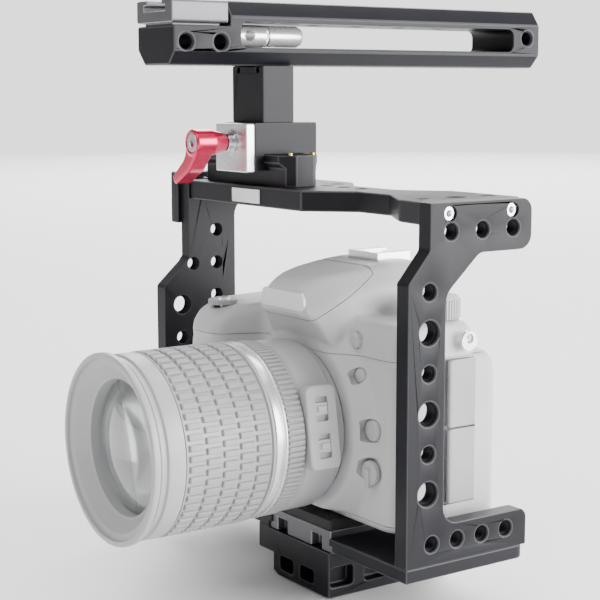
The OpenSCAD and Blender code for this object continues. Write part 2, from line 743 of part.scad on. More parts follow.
// Side view of the hump over the prism, in Y and Z
hump_outline = [
    [cam_y0 + 0.3, cam_seam, 0], [-33, cam_top - 3, 4], [-33, cam_top - 0.4, 0],
    [-5.2, flash_axis[1] - 2.4, 0], [-5.2, hump_top - 1, 0.5], [2.5, hump_top, 1],
    [23, hump_top, 4], [cam_y1 - 1, cam_top + 9, 3], [cam_y1 - 1, cam_seam, 0],
];

module camera_top_cover() {
    color("lightgray") difference() {
        union() {
            body_slice(-far, far, cam_seam, cam_seam + 2.4, 0.3);
            body_slice(-far, shoulder_y1, cam_seam, cam_top, 0.3);
            difference() {
                plate_x(hump_outline, -hump_r, hump_r);
                for (s = [-1, 1])
                    translate([s * hump_r, 0, cam_top + 4]) rotate([0, s * -18, 0])
                        block([s > 0 ? 0 : -20, -60, 0], [s > 0 ? 20 : 0, 60, 40]);
            }
            for (s = [-1, 1])
                plate_x([[-12, cam_top, 0], [-12, hump_top - 0.4, 3], [-4, hump_top - 0.4, 0],
                         [-4, cam_top, 0]], s > 0 ? 19.3 : -22.5, s > 0 ? 22.5 : -19.3);
        }
        body_slice(cam_y0 + 1.6, shoulder_y1 - 2.4, cam_seam - 1, cam_top - 2, 2.7);
        body_slice(-far, cam_y0 + 1.7, cam_seam - 1, shutter_z - 2, 2.7);
        plate_x([[-24, cam_seam - 1, 0], [-24, cam_top - 4, 2], [-3, cam_top + 7, 2],
                 [0, hump_top - 3.6, 1], [22, hump_top - 3.6, 2], [22, cam_seam - 1, 0]], -20, 20);
        block([-10.5, 4.4, hump_top - 1.5], [10.5, 22.5, hump_top + 1]);
        block([-10.5, 22.4, hump_top - 0.5], [10.5, far, hump_top + 1]);
        block([cam_x0 - 1, -50, shutter_z], [-34, cam_y0, cam_top + 1]);
        rod_x([-30, flash_axis[0], flash_axis[1]], 60, 1.25);
        rod_z([shutter_xy[0], shutter_xy[1], shutter_z - 4], 5, 1.55);
        rod_z([dial_xy[0], dial_xy[1], cam_top - 3], 4, 2.05);
        rod_y([flash_button_xz[0], cam_y0 - 1, flash_button_xz[1]], 5, button_r + 0.05);
        for (x = [cam_x0, cam_x1 - wall - 1]) rod_x([x - 1, lug_y, lug_z], wall + 3, 1);
    }
}

// The pop-up flash lies over the front of the hump and turns up on a pin behind it
module flash_head() {
    color("whitesmoke") {
        plate_x([[-38, cam_top + 0.7, 1.5], [-38, cam_top + 11.4, 3], [-26, cam_top + 17.4, 9],
                 [-5.8, hump_top - 1, 2.2], [-6.6, flash_axis[1] - 2.1, 0.5],
                 [-33, cam_top + 0.1, 0.5]], -19, 19);
        rod_x([-22, flash_axis[0], flash_axis[1]], 44, 1.2);
    }
}

module hot_shoe() {
    z0 = hump_top - 1.5;
    color("silver") difference() {
        block([-10.5, 4.4, z0], [10.5, 22.5, z0 + 4.4]);
        block([-9.4, 5.9, z0 + 1], [9.4, 24, z0 + 3.2]);
        block([-6.3, 5.9, z0 + 3], [6.3, 24, z0 + 5]);
    }
}

module lens_mount_ring() {
    color("silver") lens_ring(-1, 0, throat_r, 33);
}

module mirror_box() {
    y0 = cam_y0 + wall;
    color([0.1, 0.1, 0.1]) difference() {
        block([-22, y0, lens_z - 18], [22, 13, lens_z + 22]);
        block([-19.5, y0 - 1, lens_z - 15.5], [19.5, 14, lens_z + 19.5]);
        block([-17, y0 + 2, lens_z], [17, mirror_axis[0] - 2.5, lens_z + 30]);
        rod_x([-23, mirror_axis[0], mirror_axis[1]], 46, 1.05);
    }
}

// The mirror hangs from its upper rear edge and swings up against the focusing screen
module reflex_mirror() {
    color("silver") {
        translate([0, mirror_axis[0], mirror_axis[1]]) rotate([45, 0, 0])
            block([-15, -26, -0.8], [15, 0.4, 0.8]);
        rod_x([-21, mirror_axis[0], mirror_axis[1]], 42, 1);
    }
}

module image_sensor() {
    color("darkslategray") {
        block([-14, 13.2, lens_z - 10], [14, 15.1, lens_z + 10]);
        block([-22, 13, lens_z - 18], [22, 13.2, lens_z + 18]);
        block([-22, 15, lens_z - 15], [22, 16.5, lens_z + 15]);
    }
}

module rear_screen() {
    color([0.12, 0.12, 0.14]) block([-35.8, cam_y1 - 1.1, 42.2], [35.8, cam_y1 + 1.4, 93.8]);
}

module eyecup() {
    z0 = cam_seam + 3;
    color([0.15, 0.15, 0.15]) difference() {
        plate_y(rect_points(-17, z0, 17, z0 + 19, 5), cam_y1 - 1, cam_y1 + 7);
        plate_y(rect_points(-11, z0 + 4, 11, z0 + 15, 3), cam_y1 + 1, cam_y1 + 8);
    }
}

// A rubber door over the sockets, with its pin along its front edge
module port_door(z0, z1) {
    color("gainsboro") {
        block([cam_x1 - 1.3, door_y, z0], [cam_x1 + 0.6, door_y1, z1]);
        rod_z([cam_x1, door_y, z0], z1 - z0, 1);
    }
}

module port_door_upper() { port_door(75.8, cam_seam - 1); }
module port_door_lower() { port_door(44, 75.2); }

module shutter_button() {
    color("silver") {
        rod_z([shutter_xy[0], shutter_xy[1], shutter_z - 5], 6, 1.5);
        rod_z([shutter_xy[0], shutter_xy[1], shutter_z + 1], 2.4, 3.8);
    }
}

// A ring of notches round a vertical dial
module knurl(xy, z0, h, r, count, notch) {
    for (i = [0 : count - 1]) translate([xy[0], xy[1], z0 - 1])
        rotate([0, 0, i * 360 / count]) rod_z([r, 0, 0], h + 2, notch, $fn = 16);
}

module power_ring() {
    color("gray") difference() {
        rod_z([shutter_xy[0], shutter_xy[1], shutter_z + 0.1], 2.2, 6.6);
        rod_z([shutter_xy[0], shutter_xy[1], shutter_z - 1], 5, 3.9);
        knurl(shutter_xy, shutter_z, 3, 6.8, 18, 0.5);
    }
}

module mode_dial() {
    color("gray") difference() {
        union() {
            rod_z([dial_xy[0], dial_xy[1], cam_top + 0.1], 9.5, 10.4);
            rod_z([dial_xy[0], dial_xy[1], cam_top - 4], 5, 2);
        }
        knurl(dial_xy, cam_top + 1, 10, 10.7, 30, 0.6);
    }
}

module command_dial() {
    color("black") rod_z([-58, cam_y1 - 4.2, 94.2], 6.6, 5.4);
}

// A round button in the camera's front, at [x, z]
module front_button(xz, r) {
    color("silver") {
        rod_y([xz[0], cam_y0 - 1.8, xz[1]], 6, r);
        rod_y([xz[0], cam_y0 + 3.2, xz[1]], 0.8, r + 0.8);
    }
}

module flash_button() { front_button(flash_button_xz, button_r); }
module bracket_button() { front_button(bracket_button_xz, button_r); }
module lens_release_button() { front_button(release_xz, 4.6); }

module focus_selector() {
    color("silver") {
        rod_y([selector_xz[0], cam_y0 - 2.4, selector_xz[1]], 2.2, 5);
        rod_y([selector_xz[0], cam_y0 - 0.3, selector_xz[1]], 4, 2);
        block([selector_xz[0] - 1.2, cam_y0 - 3.6, selector_xz[1] - 6],
              [selector_xz[0] + 1.2, cam_y0 - 1, selector_xz[1] + 2]);
    }
}

module rear_buttons() {
    color("silver") for (i = [0 : 3]) rod_y([46, cam_y1 - 4, 48 + 11 * i], 5.4, 3);
}

module rear_selector() {
    color("silver") rod_y([-50, cam_y1 - 4, 76], 5.8, 7);
}

// Round lugs with an eye for the strap, pressed into the sides of the top cover
module strap_lugs() {
    color("silver") for (s = [-1, 1]) {
        face = s > 0 ? cam_x1 - 0.3 : cam_x0 + 0.3;
        rod_x([s > 0 ? face - wall : face - 2.4, lug_y, lug_z], wall + 2.4, 1);
        difference() {
            rod_x([s > 0 ? face + 2.3 : face - 3.8, lug_y, lug_z], 1.5, 4.2);
            rod_x([face + s * 3 - 2, lug_y, lug_z + 1], 4, 1.9);
        }
    }
}

// ---- lens ----------------------------------------------------------------------------------

sleeve_r = 33;                  // the zoom and focus rings turn on this sleeve
sleeve_in = 31;
panel_x = 38;                   // face of the switch panel
glass_r = 27.35;
glass_seat_r = 27.4;            // bore that the front glass sits in
switch_z = [7.5, -7.5];         // middles of the switches, across the panel
panel_turn = -9;                // the panel sits a little above the lens's side
panel_h = 17;                   // half height of the panel

// Turns what is drawn beside the lens axis into the switch panel's place
module on_panel() {
    translate([0, 0, lens_z]) rotate([0, panel_turn, 0]) children();
}

module lens_barrel() {
    color("lightgray") difference() {
        union() {
            lens_ring(0, 3, 22, 34);
            lens_ring(3, 20.4, sleeve_in, 36.2);
            lens_ring(20.3, 73.5, sleeve_in, sleeve_r);
            lens_ring(29.4, 35, sleeve_r - 1, 37);
            lens_ring(-5, 0.1, 22, 26.8);
            lens_ring(2.9, 6, 22, 32);
            difference() {
                on_panel() plate_x(rect_points(mount_y - 20.2, -panel_h, mount_y - 5.6, panel_h, 3),
                                   30, panel_x);
                lens_ring(0, 30, 0.01, 34);
            }
        }
        on_panel() for (z = switch_z)
            block([panel_x - 1.5, mount_y - 16, z - 5], [panel_x + 1, mount_y - 10, z + 5]);
    }
}

// A slide switch in its pocket, pushed up or down
module lens_switch(z) {
    color("dimgray") on_panel() {
        block([panel_x - 1.45, mount_y - 15.9, z - 2.6], [panel_x - 0.2, mount_y - 10.1, z + 2.6]);
        block([panel_x - 0.3, mount_y - 15, z - 1.2], [panel_x + 0.9, mount_y - 11, z + 1.2]);
    }
}

module autofocus_switch() { lens_switch(switch_z[0]); }
module stabiliser_switch() { lens_switch(switch_z[1]); }

// Grooves cut along a ring of the lens
module lens_ribs(dist0, dist1, r, count, width) {
    for (i = [0 : count - 1]) translate([0, 0, lens_z]) rotate([0, i * 360 / count, 0])
        block([r, mount_y - dist1, -width / 2], [r + 3, mount_y - dist0, width / 2]);
}

module focus_ring() {
    color("darkgray") difference() {
        lens_ring(20.6, 29.2, sleeve_r + gap, 36.8);
        lens_ribs(21.6, 28.2, 36.2, 36, 2);
    }
}

module zoom_ring() {
    color("darkgray") difference() {
        lens_ring(35.2, 76, sleeve_r + gap, 37.5);
        lens_ribs(36.6, 74.6, 36.9, 36, 1.4);
    }
}

module front_barrel() {
    color("lightgray") translate([0, mount_y, lens_z]) rotate([90, 0, 0])
        rotate_extrude($fn = 96) polygon([
            [28.4, 31], [sleeve_in - gap, 31], [sleeve_in - gap, 76.3], [37.3, 76.3],
            [37.3, 84], [36.2, 84.5], [36.2, 86], [rim_r, 86.5], [rim_r, lens_l - 0.8],
            [rim_r - 0.8, lens_l], [rim_r - 2.6, lens_l], [rim_r - 2.6, lens_l - 1.5],
            [33, lens_l - 2.5], [glass_seat_r + 1, 84.5], [glass_seat_r, 84.5], [glass_seat_r, 77],
            [28.4, 77],
        ]);
}

module lens_glass() {
    dome = 62;
    rim = 79.5;
    rise = dome - sqrt(dome * dome - glass_r * glass_r);
    color([0.85, 0.95, 0.9, 0.5]) translate([0, mount_y, lens_z]) rotate([90, 0, 0])
        rotate_extrude($fn = 96) polygon(concat(
            [[0, 77], [glass_r, 77]],
            [for (i = [0 : 6]) let(r = glass_r * (6 - i) / 6)
                [r, rim - dome + rise + sqrt(dome * dome - r * r)]]));
}

base_plate();
base_block();
port_side_plate();
grip_side_plate();
top_plate();
cage_screws();
accessory_block();
name_badge();
quick_release_plate();
quick_release_pad();
camera_screw();
lock_gib();
lock_knob();
accessory_rail();
rail_screws();
rail_stop_pins();
clamp_block();
clamp_plate();
clamp_pad();
clamp_stud();
lever_washers();
clamp_lever();
lever_screw();
handle_post();
handle_screws();
handle_body();
cold_shoe();
accessory_screw();
camera_front_shell();
camera_rear_shell();
camera_bottom_cover();
camera_top_cover();
flash_head();
hot_shoe();
lens_mount_ring();
mirror_box();
reflex_mirror();
image_sensor();
rear_screen();
eyecup();
port_door_upper();
port_door_lower();
shutter_button();
power_ring();
mode_dial();
command_dial();
flash_button();
bracket_button();
lens_release_button();
focus_selector();
rear_buttons();
rear_selector();
strap_lugs();
lens_barrel();
focus_ring();
zoom_ring();
front_barrel();
lens_glass();
autofocus_switch();
stabiliser_switch();
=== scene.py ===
"""Looks of the camera cage rig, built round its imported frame. Lengths are in millimetres."""
import json
import math

import bmesh
import bpy
from mathutils import Matrix, Vector


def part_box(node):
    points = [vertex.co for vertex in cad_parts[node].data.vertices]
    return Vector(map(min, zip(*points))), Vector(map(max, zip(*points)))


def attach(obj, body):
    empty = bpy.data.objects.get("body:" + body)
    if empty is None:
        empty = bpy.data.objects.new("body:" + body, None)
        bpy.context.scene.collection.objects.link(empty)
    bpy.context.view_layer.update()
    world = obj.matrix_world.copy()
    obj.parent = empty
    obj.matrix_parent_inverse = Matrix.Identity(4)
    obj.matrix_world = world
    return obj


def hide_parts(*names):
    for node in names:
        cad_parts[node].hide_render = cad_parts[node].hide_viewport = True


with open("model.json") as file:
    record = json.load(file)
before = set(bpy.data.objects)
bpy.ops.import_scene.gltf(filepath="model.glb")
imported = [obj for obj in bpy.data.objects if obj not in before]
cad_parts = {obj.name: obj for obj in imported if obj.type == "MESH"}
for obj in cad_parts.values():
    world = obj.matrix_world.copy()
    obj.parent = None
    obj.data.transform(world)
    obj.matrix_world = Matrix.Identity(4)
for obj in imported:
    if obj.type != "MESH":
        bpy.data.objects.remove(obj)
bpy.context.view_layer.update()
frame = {"nodes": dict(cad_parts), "record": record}

MM = 0.001
RECORD = frame["record"]
BODY_OF = {n: b for b, group in RECORD["behaviour"]["bodies"].items() for n in group}
SLOT_OF = {s["node"]: s["material_slot"] for s in RECORD["subparts"]}


def box_mm(node):
    """Lowest and highest corner of a CAD node, in millimetres."""
    lo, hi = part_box(node)
    return lo / MM, hi / MM


def centre_of(node):
    lo, hi = box_mm(node)
    return (lo + hi) / 2


# ---- materials --------------------------------------------------------------------------------

def nodes_of(name):
    """A new material with its node tree and its shader."""
    made = bpy.data.materials.new(name)
    made.use_nodes = True
    tree = made.node_tree
    return made, tree, tree.nodes["Principled BSDF"]


def noise(tree, scale, detail=2.0, stretch=(1, 1, 1), kind="ShaderNodeTexNoise"):
    """Noise over the piece's own space; scale is in features per millimetre."""
    place = tree.nodes.new("ShaderNodeTexCoord")
    mapping = tree.nodes.new("ShaderNodeMapping")
    mapping.inputs["Scale"].default_value = [scale / MM * s for s in stretch]
    made = tree.nodes.new(kind)
    made.inputs["Scale"].default_value = 1.0
    if "Detail" in made.inputs:
        made.inputs["Detail"].default_value = detail
    tree.links.new(place.outputs["Object"], mapping.inputs["Vector"])
    tree.links.new(mapping.outputs["Vector"], made.inputs["Vector"])
    return made


def spread(tree, source, low, high, start=0.3, end=0.7):
    """Maps a texture's value to the range low to high."""
    made = tree.nodes.new("ShaderNodeMapRange")
    made.inputs["From Min"].default_value = start
    made.inputs["From Max"].default_value = end
    made.inputs["To Min"].default_value = low
    made.inputs["To Max"].default_value = high
    tree.links.new(source, made.inputs["Value"])
    return made.outputs["Result"]


def value_of(texture):
    """The grey output of a noise or a cell texture."""
    for name in ("Fac", "Distance"):
        if name in texture.outputs:
            return texture.outputs[name]
    return texture.outputs[0]


def tinted(tree, factor, dark, light):
    """A colour between dark and light."""
    made = tree.nodes.new("ShaderNodeMix")
    made.data_type = "RGBA"
    made.inputs["A"].default_value = (*dark, 1)
    made.inputs["B"].default_value = (*light, 1)
    tree.links.new(factor, made.inputs["Factor"])
    return made.outputs["Result"]


def add_bump(tree, shader, height, distance_mm, strength=1.0, below=None):
    made = tree.nodes.new("ShaderNodeBump")
    made.inputs["Distance"].default_value = distance_mm * MM
    made.inputs["Strength"].default_value = strength
    tree.links.new(height, made.inputs["Height"])
    if below:
        tree.links.new(below, made.inputs["Normal"])
    tree.links.new(made.outputs["Normal"], shader.inputs["Normal"])
    return made.outputs["Normal"]


def scaled(colour, factor):
    return tuple(min(1.0, c * factor) for c in colour)


def surface(name, colour, metallic=0.0, rough=(0.35, 0.45), vary=0.12, grain=4.0, bump=0.01,
            blotch=0.05, painted_highlight=None, stretch=(1, 1, 1), **sockets):
    """A material with blotches, fine grain, uneven roughness, a bump and, if given, a lighter
    colour on bevelled edges as a painted highlight.
    """
    made, tree, shader = nodes_of(name)
    shader.inputs["Metallic"].default_value = metallic
    broad = noise(tree, blotch, 3.0)
    fine = noise(tree, grain, 2.0, stretch)
    base = tinted(tree, spread(tree, value_of(broad), 0, 1), scaled(colour, 1 - vary),
                  scaled(colour, 1 + vary))
    # Faces flagged by the edge attribute get a lighter colour: a painted highlight along the
    # edges.
    if painted_highlight:
        edge = tree.nodes.new("ShaderNodeAttribute")
        edge.attribute_name = "edge"
        mix = tree.nodes.new("ShaderNodeMix")
        mix.data_type = "RGBA"
        mix.inputs["B"].default_value = (*painted_highlight, 1)
        tree.links.new(edge.outputs["Fac"], mix.inputs["Factor"])
        tree.links.new(base, mix.inputs["A"])
        base = mix.outputs["Result"]
    tree.links.new(base, shader.inputs["Base Color"])
    tree.links.new(spread(tree, value_of(fine), *rough), shader.inputs["Roughness"])
    add_bump(tree, shader, value_of(fine), bump)
    for socket, value in sockets.items():
        shader.inputs[socket.replace("_", " ")].default_value = value
    return made


def pebbled(name, colour, cell=1.1, depth=0.12, rough=(0.5, 0.65)):
    """Moulded rubber with a leather pebble."""
    made, tree, shader = nodes_of(name)
    cells = noise(tree, 1 / cell, 0, kind="ShaderNodeTexVoronoi")
    broad = noise(tree, 0.05, 2.0)
    tree.links.new(tinted(tree, spread(tree, value_of(broad), 0, 1), scaled(colour, 0.92),
                          scaled(colour, 1.08)), shader.inputs["Base Color"])
    tree.links.new(spread(tree, value_of(cells), *rough, 0.0, 0.7), shader.inputs["Roughness"])
    add_bump(tree, shader, spread(tree, value_of(cells), 1, 0, 0.0, 0.6), depth)
    return made


def glassy(name, colour, rough=0.02):
    """Coated glass: mostly clear, with a faint tint that drifts over it."""
    made, tree, shader = nodes_of(name)
    film = noise(tree, 0.03, 1.0)
    tree.links.new(tinted(tree, spread(tree, value_of(film), 0, 1), scaled(colour, 0.9), colour),
                   shader.inputs["Base Color"])
    shader.inputs["Roughness"].default_value = rough
    shader.inputs["Transmission Weight"].default_value = 0.9
    shader.inputs["IOR"].default_value = 1.55
    shader.inputs["Coat Weight"].default_value = 0.6
    return made


BLACK = (0.007, 0.007, 0.010)
CAMERA_GREY = (0.50, 0.50, 0.51)
# The lighter edge colours given to surface() below are painted highlights on the bevelled edges.
MATERIALS = {
    "black_anodised": surface("black_anodised", BLACK, 0.0, (0.36, 0.46), 0.12, 6.0, 0.006,
                              painted_highlight=(0.05, 0.05, 0.055), Specular_IOR_Level=0.2),
    "grey_anodised": surface("grey_anodised", (0.11, 0.11, 0.12), 0.5, (0.32, 0.42), 0.08, 6.0,
                             0.006, painted_highlight=(0.3, 0.3, 0.32)),
    "silver_anodised": surface("silver_anodised", (0.78, 0.78, 0.79), 0.85, (0.22, 0.36), 0.05,
                               2.5, 0.006, stretch=(0.1, 1, 4)),
    "red_anodised": surface("red_anodised", (0.62, 0.015, 0.075), 0.6, (0.2, 0.28), 0.08, 5.0,
                            0.004, painted_highlight=(0.85, 0.2, 0.3), Coat_Weight=0.5, Coat_Roughness=0.12),
    "steel": surface("steel", (0.68, 0.68, 0.7), 1.0, (0.16, 0.3), 0.06, 5.0, 0.004,
                     stretch=(1, 1, 0.2)),
    "dark_steel": surface("dark_steel", (0.2, 0.2, 0.21), 1.0, (0.25, 0.4), 0.1, 5.0, 0.006),
    "brass": surface("brass", (0.66, 0.45, 0.14), 1.0, (0.2, 0.34), 0.08, 4.0, 0.005),
    "badge": surface("badge", (0.86, 0.86, 0.86), 0.0, (0.2, 0.3), 0.03, 3.0, 0.002,
                     Coat_Weight=0.4),
    "black_rubber": surface("black_rubber", (0.022, 0.022, 0.023), 0.0, (0.6, 0.8), 0.15, 3.0,
                            0.02),
    "camera_shell": surface("camera_shell", CAMERA_GREY, 0.0, (0.42, 0.55), 0.035, 5.0, 0.012),
    "camera_controls": surface("camera_controls", (0.44, 0.44, 0.45), 0.0, (0.3, 0.42), 0.05,
                               4.0, 0.006),
    "camera_grip": pebbled("camera_grip", (0.48, 0.48, 0.49)),
    "grey_rubber": surface("grey_rubber", (0.33, 0.33, 0.34), 0.0, (0.5, 0.65), 0.05, 3.0, 0.015),
    "lens_shell": surface("lens_shell", (0.38, 0.38, 0.39), 0.0, (0.34, 0.46), 0.03, 5.0, 0.01),
    "bright_ring": surface("bright_ring", (0.8, 0.8, 0.8), 0.6, (0.2, 0.3), 0.03, 4.0, 0.003),
    "lens_inside": surface("lens_inside", (0.3, 0.3, 0.31), 0.0, (0.45, 0.6), 0.05, 3.0, 0.01),
    "lens_glass": glassy("lens_glass", (0.93, 0.98, 0.95)),
    "window": surface("window", (0.68, 0.68, 0.68), 0.0, (0.12, 0.2), 0.02, 0.6, 0.05,
                      stretch=(1, 0.1, 0.1), Coat_Weight=0.5),
    "screen": surface("screen", (0.16, 0.16, 0.18), 0.0, (0.08, 0.14), 0.05, 2.0, 0.001,
                      Coat_Weight=0.8),
    "mirror": surface("mirror", (0.9, 0.9, 0.9), 1.0, (0.02, 0.05), 0.02, 3.0, 0.0005),
}


# ---- mesh making ------------------------------------------------------------------------------

def show(obj, body, slot, material=None, replaces=(), smooth=32):
    """Finishes a piece: its material, its shading, its body and what it stands for."""
    obj.data.materials.clear()
    obj.data.materials.append(MATERIALS[material or slot])
    if smooth:
        obj.data.shade_smooth()
        obj.data.set_sharp_from_angle(angle=math.radians(smooth))
    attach(obj, body)
    if replaces:
        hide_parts(*replaces)
    return obj


def link_mesh(name, mesh):
    obj = bpy.data.objects.new(name, mesh)
    bpy.context.scene.collection.objects.link(obj)
    return obj


def join_parts(name, parts):
    """Joins lists of (vertices, faces) in millimetres into one object."""
    verts, faces = [], []
    for more, sides in parts:
        base = len(verts)
        verts += [Vector(v) * MM for v in more]
        faces += [[base + i for i in side] for side in sides]
    mesh = bpy.data.meshes.new(name)
    mesh.from_pydata(verts, [], faces)
    mesh.update()
    return link_mesh(name, mesh)


def unit(v):
    length = math.hypot(*v)
    return (v[0] / length, v[1] / length)


def rounded(points, segments=6):
    """An outline of (x, y, radius) corners, with its corners rounded."""
    made = []
    for i, (x, y, r) in enumerate(points):
        before, after = points[i - 1], points[(i + 1) % len(points)]
        if r <= 0:
            made.append((x, y))
            continue
        u = unit((before[0] - x, before[1] - y))
        v = unit((after[0] - x, after[1] - y))
        half = math.acos(max(-1, min(1, u[0] * v[0] + u[1] * v[1]))) / 2
        side = 1 if u[0] * v[1] - u[1] * v[0] > 0 else -1
        mid = unit((u[0] + v[0], u[1] + v[1]))
        centre = (x + mid[0] * r / math.sin(half), y + mid[1] * r / math.sin(half))
        start = (x + u[0] * r / math.tan(half) - centre[0],
                 y + u[1] * r / math.tan(half) - centre[1])
        for k in range(segments + 1):
            t = side * (math.pi - 2 * half) * k / segments
            made.append((centre[0] + start[0] * math.cos(t) + start[1] * math.sin(t),
                         centre[1] + start[1] * math.cos(t) - start[0] * math.sin(t)))
    return made


def loft(rings):
    """A closed skin through rings of the same number of points."""
    count = len(rings[0])
    verts = [p for ring in rings for p in ring]
    faces = []
    for i in range(len(rings) - 1):
        for k in range(count):
            n = (k + 1) % count
            faces.append((i * count + k, i * count + n, (i + 1) * count + n, (i + 1) * count + k))
    faces.append(tuple(reversed(range(count))))
    faces.append(tuple(range((len(rings) - 1) * count, len(rings) * count)))
    return verts, faces


def lathe(profile, point, count=128):
    """A closed ring or a turned solid. point(r, along, angle) gives a place in space."""
    turns = [math.tau * k / count for k in range(count)]
    verts, rows, faces = [], [], []
    for r, along in profile:
        if r < 1e-6:
            rows.append([len(verts)] * count)
            verts.append(point(0, along, 0))
        else:
            rows.append(list(range(len(verts), len(verts) + count)))
            verts += [point(r, along, t) for t in turns]
    for a, b in zip(rows, rows[1:] + rows[:1]):
        for k in range(count):
            n = (k + 1) % count
            side = []
            for corner in (a[k], a[n], b[n], b[k]):
                if corner not in side:
                    side.append(corner)
            if len(side) > 2:
                faces.append(side)
    return verts, faces


def ribbed(inner, root, tip, start, end, count, point, duty=0.5, ease=0.25):
    """A ring whose outside has count ribs along its length, with eased rib ends."""
    flank = 0.08             # the part of a rib's pitch that each of its sides takes
    angles, radii = [], []
    for k in range(count):
        for part, r in ((0, root), (0.5 - duty / 2 - flank, root), (0.5 - duty / 2, tip),
                        (0.5 + duty / 2, tip), (0.5 + duty / 2 + flank, root)):
            angles.append(math.tau * (k + part) / count)
            radii.append(r)
    n = len(angles)
    low = [min(r, root) for r in radii]
    rows = [(start, [inner] * n), (start, low), (start + ease, radii), (end - ease, radii),
            (end, low), (end, [inner] * n)]
    verts = [point(r, along, t) for along, row in rows for r, t in zip(row, angles)]
    faces = []
    for i in range(len(rows)):
        j = (i + 1) % len(rows)
        for k in range(n):
            m = (k + 1) % n
            faces.append((i * n + k, i * n + m, j * n + m, j * n + k))
    return verts, faces


def slab(points, low, high, place, edge=0.4):
    """An extruded outline with chamfered rims; place(x, y, h) gives a place in space."""
    area = sum(a[0] * b[1] - b[0] * a[1] for a, b in zip(points, points[1:] + points[:1]))
    if area < 0:
        points = points[::-1]
    inner = []
    for i, p in enumerate(points):
        a, b = points[i - 1], points[(i + 1) % len(points)]
        d = unit((b[0] - a[0], b[1] - a[1]))
        inner.append((p[0] - d[1] * edge, p[1] + d[0] * edge))
    rings = [(inner, low), (points, low + edge), (points, high - edge), (inner, high)]
    return loft([[place(x, y, h) for x, y in ring] for ring, h in rings])


def plain_block(u0, u1, v0, v1, low, high, place, edge=0.01):
    """A block with its outline from (u0, v0) to (u1, v1)."""
    return slab([(u0, v0), (u1, v0), (u1, v1), (u0, v1)], low, high, place, edge)


def facing_x(y, z, x):
    """Slab placing for an outline in Y and Z that rises along X."""
    return (x, y, z)


def facing_y(x, z, y):
    """Slab placing for an outline in X and Z that rises along Y."""
    return (x, y, z)


def facing_z(x, y, z):
    """Slab placing for an outline in X and Y that rises along Z."""
    return (x, y, z)


def along_y(cx, cz):
    """Lathe placing for an axis along +Y through (cx, cz)."""
    def point(r, along, angle):
        return (cx + r * math.cos(angle), along, cz + r * math.sin(angle))
    return point


def upright(cx, cy):
    """Lathe placing for an axis along +Z through (cx, cy)."""
    def point(r, along, angle):
        return (cx + r * math.cos(angle), cy + r * math.sin(angle), along)
    return point


def cylinder(r, start, end, point, count=48):
    """A plain peg or cutter on a lathe placing."""
    return lathe([(0, start), (r, start), (r, end), (0, end)], point, count)


def clean_up(obj):
    """Turns every face outwards."""
    bm = bmesh.new()
    bm.from_mesh(obj.data)
    bmesh.ops.recalc_face_normals(bm, faces=bm.faces)
    bm.to_mesh(obj.data)
    bm.free()
    return obj


def apply_modifiers(obj):
    graph = bpy.context.evaluated_depsgraph_get()
    mesh = bpy.data.meshes.new_from_object(obj.evaluated_get(graph))
    obj.modifiers.clear()
    obj.data = mesh
    return obj


def closed(name, *parts):
    """One object from closed parts, with its faces outwards."""
    return clean_up(join_parts(name, parts))


def drop(obj):
    bpy.data.objects.remove(obj)


def carve(obj, name, *parts):
    """Cuts some closed parts out of a piece. Parts that overlap go in separate calls."""
    cutter = closed(name, *parts)
    made = obj.modifiers.new("cut", "BOOLEAN")
    made.object = cutter
    made.operation = "DIFFERENCE"
    made.solver = "EXACT"
    made.use_self = False
    apply_modifiers(obj)
    drop(cutter)


def soften(obj, voxel, passes):
    """Joins a piece's parts into one skin with softened edges."""
    remesh = obj.modifiers.new("skin", "REMESH")
    remesh.mode = "VOXEL"
    remesh.voxel_size = voxel * MM
    smooth = obj.modifiers.new("soften", "SMOOTH")
    smooth.iterations = passes
    smooth.factor = 0.5
    return apply_modifiers(obj)


SHARP = math.radians(28)     # edges that turn by more than this are rounded


def bevelled(node, width, segments=2):
    """A copy of a CAD node with its sharp edges rounded off, and those faces flagged for a painted
    edge highlight.
    """
    bm = bmesh.new()
    bm.from_mesh(frame["nodes"][node].data)
    bmesh.ops.remove_doubles(bm, verts=bm.verts, dist=1e-6)
    bmesh.ops.dissolve_limit(bm, angle_limit=math.radians(0.6), verts=bm.verts, edges=bm.edges)
    bmesh.ops.triangulate(bm, faces=[f for f in bm.faces if len(f.verts) > 4])
    edges = [e for e in bm.edges if len(e.link_faces) == 2 and e.calc_face_angle(0) > SHARP]
    # Faces made by the bevel are flagged for the painted edge highlight.
    painted_highlight = bm.faces.layers.float.new("edge")
    made = bmesh.ops.bevel(bm, geom=edges, offset=width * MM, offset_type="OFFSET",
                           segments=segments, profile=0.5, affect="EDGES", clamp_overlap=False,
                           loop_slide=True)
    for face in made["faces"]:
        face[painted_highlight] = 1.0
    bmesh.ops.triangulate(bm, faces=[f for f in bm.faces if len(f.verts) > 4])
    mesh = bpy.data.meshes.new(node)
    bm.to_mesh(mesh)
    bm.free()
    show(link_mesh(node + "_edged", mesh), BODY_OF[node], SLOT_OF[node], None, (node,), 14)


# ---- cage and handle --------------------------------------------------------------------------

# Width of the rounded edges of each CAD node, in millimetres
EDGES = {
    "base_plate": 0.5, "base_block": 0.6, "port_side_plate": 0.4, "grip_side_plate": 0.28,
    "top_plate": 0.7, "accessory_block": 0.6, "name_badge": 0.15, "quick_release_plate": 0.4,
    "quick_release_pad": 0.25, "lock_gib": 0.3, "lock_knob": 0.35, "accessory_rail": 0.5,
    "clamp_block": 0.45, "clamp_plate": 0.5, "handle_post": 0.5, "handle_body": 0.7,
    "cold_shoe": 0.4, "hot_shoe": 0.2, "port_door_upper": 0.5, "port_door_lower": 0.5,
    "eyecup": 0.9,
}
for node, width in EDGES.items():
    bevelled(node, width)

FINE_EDGES = ["cage_screws", "rail_screws", "handle_screws", "lever_screw", "camera_screw",
              "lever_washers", "rail_stop_pins", "clamp_stud", "clamp_pad", "strap_lugs"]
for node in FINE_EDGES:
    bevelled(node, 0.15, 1)


